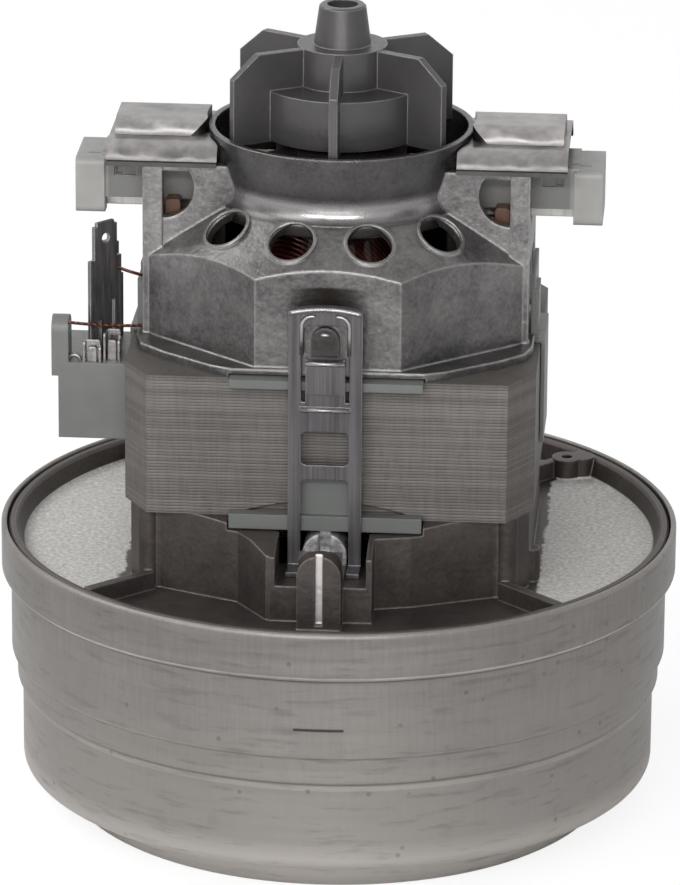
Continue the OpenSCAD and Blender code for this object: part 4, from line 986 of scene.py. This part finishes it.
def start_wire(shape: Shape, place: Vector, radius: float, sides: int, axis: str = "Z") -> Edges:
    """Starts a round wire with a circle.

    Args:
        shape: The mesh to add to.
        place: The circle's centre.
        radius: Its radius.
        sides: The number of its sides.
        axis: Direction in which the wire runs, "X" or "Z".

    Returns:
        The circle's edges.
    """
    ring = bmesh.ops.create_circle(shape, cap_ends=False, segments=sides, radius=radius)["verts"]
    if axis == "X":
        quarter = Matrix.Rotation(math.pi / 2, 3, "Y")
        bmesh.ops.rotate(shape, verts=ring, cent=(0, 0, 0), matrix=quarter)
    bmesh.ops.translate(shape, verts=ring, vec=place)
    return list({edge for vert in ring for edge in vert.link_edges})


def bend_wire(shape: Shape, edges: Edges, centre: Vector, axis: tuple[int, int, int], angle: float,
              steps: int, shift: tuple[float, float, float] = (0, 0, 0)) -> None:
    """Winds a round wire about an axis.

    Args:
        shape: The mesh to add to.
        edges: The circle at the wire's end.
        centre: A point of the axis.
        axis: The axis's direction.
        angle: How far it turns.
        steps: The number of steps.
        shift: How far it moves on in each step.
    """
    verts = list({vert for edge in edges for vert in edge.verts})
    bmesh.ops.spin(shape, geom=verts + edges, cent=centre, axis=axis, dvec=shift, angle=angle, steps=steps,
                   use_merge=False, use_duplicate=False)


def close_ends(shape: Shape, sides: int) -> None:
    """Fills the open ends of round wires that have this many sides, and shades all but the ends smooth."""
    open_edges = [edge for edge in shape.edges if edge.is_boundary]
    bmesh.ops.holes_fill(shape, edges=open_edges, sides=sides)
    for face in shape.faces:
        face.smooth = len(face.verts) <= 4


@dataclass(frozen=True)
class Assembly:
    """CAD nodes that belong together, sorted by the finish that they get."""

    title: str
    finishes: tuple[tuple[Finish, tuple[str, ...]], ...]

    def dress(self) -> None:
        """Gives the CAD nodes their finishes."""
        for finish, nodes in self.finishes:
            for name in nodes:
                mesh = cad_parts[name].data
                mesh.materials.clear()
                mesh.materials.append(finish.material)
            LOG.info("%s, %s: %s", self.title, finish.name.lower(), ", ".join(nodes))


ASSEMBLIES = (
    Assembly("fan case", (
        (Finish.SHELL, ("fan_shell",)),
        (Finish.LOWER_CASTING, ("fan_end_bracket",)),
        (Finish.WHEEL, ("inlet_wheel", "outlet_wheel", "return_diffuser", "stage_divider")),
        (Finish.TURNED, ("wheel_spacer", "bearing_spacer", "wheel_washers", "wheel_nut")))),
    Assembly("motor", (
        (Finish.LAMINATION, ("stator_core", "armature_core")),
        (Finish.WINDING, ("armature_winding", "field_coil_front", "field_coil_rear")),
        (Finish.COMMUTATOR, ("commutator",)),
        (Finish.BOBBIN, ("lower_bobbins", "upper_bobbins")),
        (Finish.WHITE, ("side_insulators",)),
        (Finish.SLEEVE, ("armature_spacer", "commutator_spacer")),
        (Finish.TURNED, ("rotor_shaft",)),
        (Finish.BEARING, ("lower_bearing_outer_ring", "lower_bearing_inner_ring", "lower_bearing_balls",
                          "upper_bearing_outer_ring", "upper_bearing_inner_ring", "upper_bearing_balls")))),
    Assembly("upper bracket and brush gear", (
        (Finish.UPPER_CASTING, ("commutator_end_bracket",)),
        (Finish.SPIDER, ("bearing_spider",)),
        (Finish.BOWL, ("fan_bowl",)),
        (Finish.BROWN, ("brush_terminals",)),
        (Finish.HOLDER, ("brush_holder_left", "brush_holder_right")),
        (Finish.TUBE, ("brush_tube_left", "brush_tube_right")),
        (Finish.CARBON, ("carbon_brush_left", "carbon_brush_right")),
        (Finish.TURNED, ("brush_spring_left", "brush_spring_right")),
        (Finish.CLAMP, ("brush_clamp_left", "brush_clamp_right")),
        (Finish.STRAP, ("strap_front", "strap_rear")),
        (Finish.FAN, ("cooling_fan",)))),
    Assembly("side terminals", (
        (Finish.WHITE, ("terminal_block",)),
        (Finish.TAB, ("terminal_tabs",)),
        (Finish.WINDING, ("coil_leads",)))),
)


@dataclass
class BrushSpring:
    """A coil spring behind a brush.

    Args:
        side: "left" or "right".
        sign: -1 on the left, 1 on the right.
    """

    side: str
    sign: int
    turns: int = 9
    steps: int = 20
    wire: float = 0.0003
    wire_sides: int = 8
    coil: float = 0.0023
    outer_x: float = 0.04955
    inner_x: float = 0.03035
    height: float = 0.136
    keep: float = 0.475

    def build(self) -> None:
        """Winds the spring from its outer end inwards."""
        shape = bmesh.new()
        start = self.sign * (self.outer_x - self.wire)
        length = self.outer_x - self.inner_x - 2 * self.wire
        count = self.turns * self.steps
        edges = start_wire(shape, Vector((start, self.coil, self.height)), self.wire, self.wire_sides)
        bend_wire(shape, edges, Vector((start, 0, self.height)), (1, 0, 0), math.tau * self.turns, count,
                  (-self.sign * length / count, 0, 0))
        close_ends(shape, self.wire_sides)
        spring = add_piece(f"spring_coil_{self.side}", shape, Finish.TURNED)
        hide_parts(f"brush_spring_{self.side}")
        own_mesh(spring)


@dataclass
class StrapRolls:
    """The bright rolled edges and pressed ribs on the face of a spring strap.

    Each of the bars is half its length, how far it stands out and its height.

    Args:
        name: The piece's name.
        rear: Whether it is the strap at the rear.
    """

    name: str
    rear: bool
    face_y: float = -0.0422
    wire: float = 0.00045
    round_sides: int = 12
    lip: float = 0.0009
    top_z: float = 0.1218
    arch_r: float = 0.03
    arch_half: float = 0.0074
    arch_steps: int = 24
    rib_x: float = 0.0049
    rib_z: tuple[float, float] = (0.1113, 0.1174)
    bend_x: float = 0.0027
    bend: float = math.radians(105)
    bend_steps: int = 10
    bars: tuple[tuple[float, float, float], ...] = ((0.0041, 0.0014, 0.1098), (0.0050, 0.0005, 0.0995))
    dimple_r: float = 0.001
    dimple_flat: tuple[float, float, float] = (1.0, 0.5, 0.45)
    dimple_out: float = 0.0008
    dimple_z: float = 0.1159

    def run(self, shape: Shape, edges: Edges, move: Vector) -> Edges:
        """Draws a roll straight on.

        Args:
            shape: The mesh to add to.
            edges: The circle at the roll's end.
            move: How far the end goes.

        Returns:
            The edges of the new end.
        """
        made = bmesh.ops.extrude_edge_only(shape, edges=edges)["geom"]
        verts = [part for part in made if isinstance(part, bmesh.types.BMVert)]
        bmesh.ops.translate(shape, verts=verts, vec=move)
        return [part for part in made if isinstance(part, bmesh.types.BMEdge)
                and all(vert in verts for vert in part.verts)]

    def add_arch(self, shape: Shape) -> None:
        """Adds the rolled edge along the strap's arched head."""
        centre = Vector((0, self.face_y - self.lip, self.top_z - self.arch_r))
        lean = math.asin(self.arch_half / self.arch_r)
        top = centre + Vector((0, 0, self.arch_r - self.wire))
        edges = start_wire(shape, top, self.wire, self.round_sides, "X")
        bmesh.ops.rotate(shape, verts=shape.verts, cent=centre, matrix=Matrix.Rotation(-lean, 3, "Y"))
        bend_wire(shape, edges, centre, (0, 1, 0), 2 * lean, self.arch_steps)

    def add_rib(self, shape: Shape, side: int) -> None:
        """Adds one rib that runs up the strap and bends inwards at its top.

        Args:
            shape: The mesh to add to.
            side: -1 on the left, 1 on the right.
        """
        low, high = self.rib_z
        foot = start_wire(shape, Vector((side * self.rib_x, self.face_y, low)), self.wire, self.round_sides)
        top = self.run(shape, foot, Vector((0, 0, high - low)))
        centre = Vector((side * self.bend_x, self.face_y, high))
        bend_wire(shape, top, centre, (0, 1, 0), -side * self.bend, self.bend_steps)

    def add_dimple(self, shape: Shape) -> None:
        """Adds the flattened dimple on the strap's tongue."""
        dome = bmesh.ops.create_icosphere(shape, subdivisions=3, radius=self.dimple_r)["verts"]
        bmesh.ops.scale(shape, verts=dome, vec=self.dimple_flat)
        bmesh.ops.translate(shape, verts=dome, vec=(0, self.face_y - self.dimple_out, self.dimple_z))

    def build(self) -> None:
        """Makes the rolls of the strap."""
        shape = bmesh.new()
        self.add_arch(shape)
        for side in (-1, 1):
            self.add_rib(shape, side)
        for half, out, height in self.bars:
            end = Vector((-half, self.face_y - out, height))
            bar = start_wire(shape, end, self.wire, self.round_sides, "X")
            self.run(shape, bar, Vector((2 * half, 0, 0)))
        self.add_dimple(shape)
        if self.rear:
            half_turn = Matrix.Rotation(math.pi, 3, "Z")
            bmesh.ops.rotate(shape, verts=shape.verts, cent=(0, 0, 0), matrix=half_turn)
        close_ends(shape, self.round_sides)
        add_piece(self.name, shape, Finish.ROLL)


@dataclass(frozen=True)
class Contact:
    """One folded contact: its lowest corner, its size, and the opening between tongue and sides."""

    low: tuple[float, float, float]
    size: tuple[float, float, float]
    slot: float


@dataclass
class Terminals:
    """The folded contacts and the wire hook that stand on the side block."""

    contacts: tuple[Contact, ...] = (
        Contact((-0.0484, -0.0158, 0.0997), (0.0030, 0.0036, 0.0062), 0.0006),
        Contact((-0.0526, -0.0166, 0.0997), (0.0033, 0.0015, 0.0046), 0.0007))
    sheet: float = 0.0005
    corner: float = 0.0006
    short_side: float = 0.76
    tongue: float = 0.72
    tongue_depth: float = 0.3
    hook: tuple[float, float, float] = (-0.0549, -0.0150, 0.0995)
    hook_r: float = 0.0013
    hook_wire: float = 0.00045
    hook_sides: int = 10
    hook_steps: int = 14

    def fold(self, shape: Shape, contact: Contact) -> None:
        """Adds one folded contact: a channel open towards the front, with a bent tongue inside.

        Args:
            shape: The mesh to add to.
            contact: The contact.
        """
        width, depth, height = contact.size
        x, y, z = contact.low
        back = (x + width / 2, y + depth, z + height / 2), (width, self.sheet, height)
        left = (x, y + depth / 2, z + height / 2), (self.sheet, depth, height)
        right = ((x + width, y + depth / 2, z + height * self.short_side / 2),
                 (self.sheet, depth, height * self.short_side))
        tongue = ((x + width / 2, y + depth * self.tongue_depth, z + height * self.tongue / 2),
                  (width - 2 * contact.slot, self.sheet, height * self.tongue))
        for place, size in (back, left, right, tongue):
            made = bmesh.ops.create_cube(shape, size=1.0)["verts"]
            bmesh.ops.scale(shape, vec=size, verts=made)
            bmesh.ops.translate(shape, vec=place, verts=made)
            top_corners = [edge for edge in {edge for vert in made for edge in vert.link_edges}
                           if min(edge.verts[0].co.z, edge.verts[1].co.z) > place[2]
                           and edge.calc_length() < self.sheet * 1.2]
            bmesh.ops.bevel(shape, geom=top_corners, offset=self.corner, offset_type="OFFSET", segments=3,
                            profile=0.5, affect="EDGES", clamp_overlap=True, material=-1)

    def add_hook(self, shape: Shape) -> None:
        """Adds a bent wire hook that stands on the block: a half ring of round wire."""
        centre = Vector(self.hook)
        foot = centre + Vector((self.hook_r, 0, 0))
        edges = start_wire(shape, foot, self.hook_wire, self.hook_sides)
        bend_wire(shape, edges, centre, (0, -1, 0), math.pi, self.hook_steps)

    def build(self) -> None:
        """Makes the folded contacts at the feet of the tabs."""
        shape = bmesh.new()
        for contact in self.contacts:
            self.fold(shape, contact)
        self.add_hook(shape)
        add_piece("terminal_clips", shape, Finish.CLIP)


def turned_to(place: Vector, target: Vector, axis: str) -> Matrix:
    """Returns the transform of a thing that stands at a place and turns one axis towards a target.

    Args:
        place: Where it stands.
        target: What it turns to.
        axis: The axis that points there, such as "Z" or "-Z".
    """
    turn = (target - place).to_track_quat(axis, "Y").to_matrix().to_4x4()
    return Matrix.Translation(place) @ turn


@dataclass(frozen=True)
class Camera:
    """The photograph's viewpoint, solved from the ellipses of the round parts."""

    distance: float = 1.32
    elevation: float = math.radians(19.1)
    azimuth: float = math.radians(4.1)
    roll: float = math.radians(0.43)
    aim_height: float = 0.0779
    focal_px: float = 6205.0
    photo_width: int = 680
    photo_height: int = 885
    centre_px: float = 339.5
    sensor: float = 36.0
    clip: tuple[float, float] = (0.05, 30.0)

    def build(self) -> None:
        """Places the camera."""
        data = bpy.data.cameras.new("camera")
        data.sensor_width = self.sensor
        data.lens = self.focal_px / self.photo_height * self.sensor
        data.shift_x = (self.photo_width / 2 - self.centre_px) / self.photo_height
        data.clip_start, data.clip_end = self.clip
        camera = bpy.data.objects.new("camera", data)
        target = Vector((0, 0, self.aim_height))
        flat = self.distance * math.cos(self.elevation)
        place = target + Vector((flat * math.sin(self.azimuth), -flat * math.cos(self.azimuth),
                                 self.distance * math.sin(self.elevation)))
        camera.matrix_world = turned_to(place, target, "-Z") @ Matrix.Rotation(self.roll, 4, "Z")
        bpy.context.scene.collection.objects.link(camera)
        bpy.context.scene.camera = camera


@dataclass(frozen=True)
class Softbox:
    """A rectangular lamp that faces the motor. Its size is in metres and its power in watts."""

    name: str
    place: tuple[float, float, float]
    size: tuple[float, float]
    watts: float

    def build(self, target: Vector) -> None:
        """Hangs the lamp so that it faces the target."""
        data = bpy.data.lights.new(self.name, "AREA")
        data.shape = "RECTANGLE"
        data.size, data.size_y = self.size
        data.energy = self.watts
        lamp = bpy.data.objects.new(self.name, data)
        lamp.matrix_world = turned_to(Vector(self.place), target, "-Z")
        bpy.context.scene.collection.objects.link(lamp)


@dataclass(frozen=True)
class Flag:
    """A dark card that only reflections see, as a studio hangs round shiny metal."""

    name: str
    place: tuple[float, float, float]
    size: tuple[float, float]
    grey: float

    def build(self, target: Vector) -> None:
        """Hangs the card so that it faces the target."""
        shape = bmesh.new()
        bmesh.ops.create_grid(shape, x_segments=1, y_segments=1, size=0.5)
        bmesh.ops.scale(shape, vec=(*self.size, 1.0), verts=shape.verts)
        bmesh.ops.transform(shape, matrix=turned_to(Vector(self.place), target, "Z"), verts=shape.verts)
        material = bpy.data.materials.new(self.name)
        material.use_nodes = True
        graph = Graph(material.node_tree)
        card = graph.add("Emission", Strength=1.0, Color=(self.grey, self.grey, self.grey, 1))
        graph.link(card.outputs[0], graph.add("OutputMaterial").inputs["Surface"])
        flag = new_object(self.name, shape, material)
        flag.visible_camera = False
        flag.visible_diffuse = False
        flag.visible_shadow = False


@dataclass(frozen=True)
class Studio:
    """Floor, light and camera."""

    camera: Camera = Camera()
    target: tuple[float, float, float] = (0, 0, 0.09)
    world_light: float = 0.47
    floor_half: float = 6.0
    floor_grey: float = 0.86
    floor_glow: float = 1.12
    glow_share: float = 0.75
    lamps: tuple[Softbox, ...] = (
        Softbox("key", (-0.1, -1.15, 0.74), (1.1, 0.14), 9.5),
        Softbox("low", (-0.05, -1.25, 0.2), (0.9, 0.16), 2.5),
        Softbox("fill", (-0.8, -0.7, 1.0), (0.7, 0.5), 3.0),
        Softbox("top", (-0.9, 0.2, 1.1), (0.7, 0.4), 4.0))
    flags: tuple[Flag, ...] = (
        Flag("flag_left", (-1.6, -0.6, 0.9), (0.8, 1.2), 0.12),
        Flag("flag_right", (1.6, -0.6, 0.9), (0.8, 1.2), 0.12),
        Flag("flag_front", (0.0, -1.9, 1.5), (2.4, 0.7), 0.08))

    def build_world(self) -> None:
        """Lights from all sides, and shows white to the camera and to reflections."""
        world = bpy.data.worlds.new("studio")
        world.use_nodes = True
        bpy.context.scene.world = world
        graph = Graph(world.node_tree)
        soft = graph.add("Background", Strength=self.world_light, Color=(0.98, 0.99, 1.0, 1))
        white = graph.add("Background", Strength=1.0, Color=(1, 1, 1, 1))
        path = graph.add("LightPath")
        mirrored = graph.maths("MAXIMUM", path.outputs["Is Glossy Ray"], path.outputs["Is Transmission Ray"])
        seen = graph.maths("MAXIMUM", path.outputs["Is Camera Ray"], mirrored)
        shown = graph.mix_shaders(seen, soft, white)
        graph.link(shown, graph.add("OutputWorld").inputs["Surface"])

    def build_floor(self) -> None:
        """Lays a pale floor that keeps the object's shadow."""
        shape = bmesh.new()
        bmesh.ops.create_grid(shape, x_segments=1, y_segments=1, size=self.floor_half)
        material = bpy.data.materials.new("floor_paper")
        material.use_nodes = True
        graph = Graph(material.node_tree)
        grey = self.floor_grey
        paper = graph.add("BsdfDiffuse", Color=(grey, grey, grey, 1))
        glow = graph.add("Emission", Strength=self.floor_glow)
        share = graph.product(graph.add("LightPath").outputs["Is Camera Ray"], self.glow_share)
        shown = graph.mix_shaders(share, paper, glow)
        graph.link(shown, graph.add("OutputMaterial").inputs["Surface"])
        new_object("floor", shape, material)

    def build(self) -> None:
        """Makes the whole studio."""
        self.camera.build()
        self.build_world()
        self.build_floor()
        for thing in (*self.lamps, *self.flags):
            thing.build(Vector(self.target))


def main() -> None:
    """Builds the studio, dresses the motor from the case up and adds the scene's own pieces."""
    logging.basicConfig(level=logging.INFO, format="%(name)s: %(message)s")
    bpy.context.scene.view_settings.view_transform = "Standard"
    Studio().build()
    for assembly in ASSEMBLIES:
        assembly.dress()
    for piece in (BrushSpring("left", -1), BrushSpring("right", 1), StrapRolls("strap_front_rolls", False),
                  StrapRolls("strap_rear_rolls", True), Terminals()):
        piece.build()


if __name__ == "__main__":
    main()
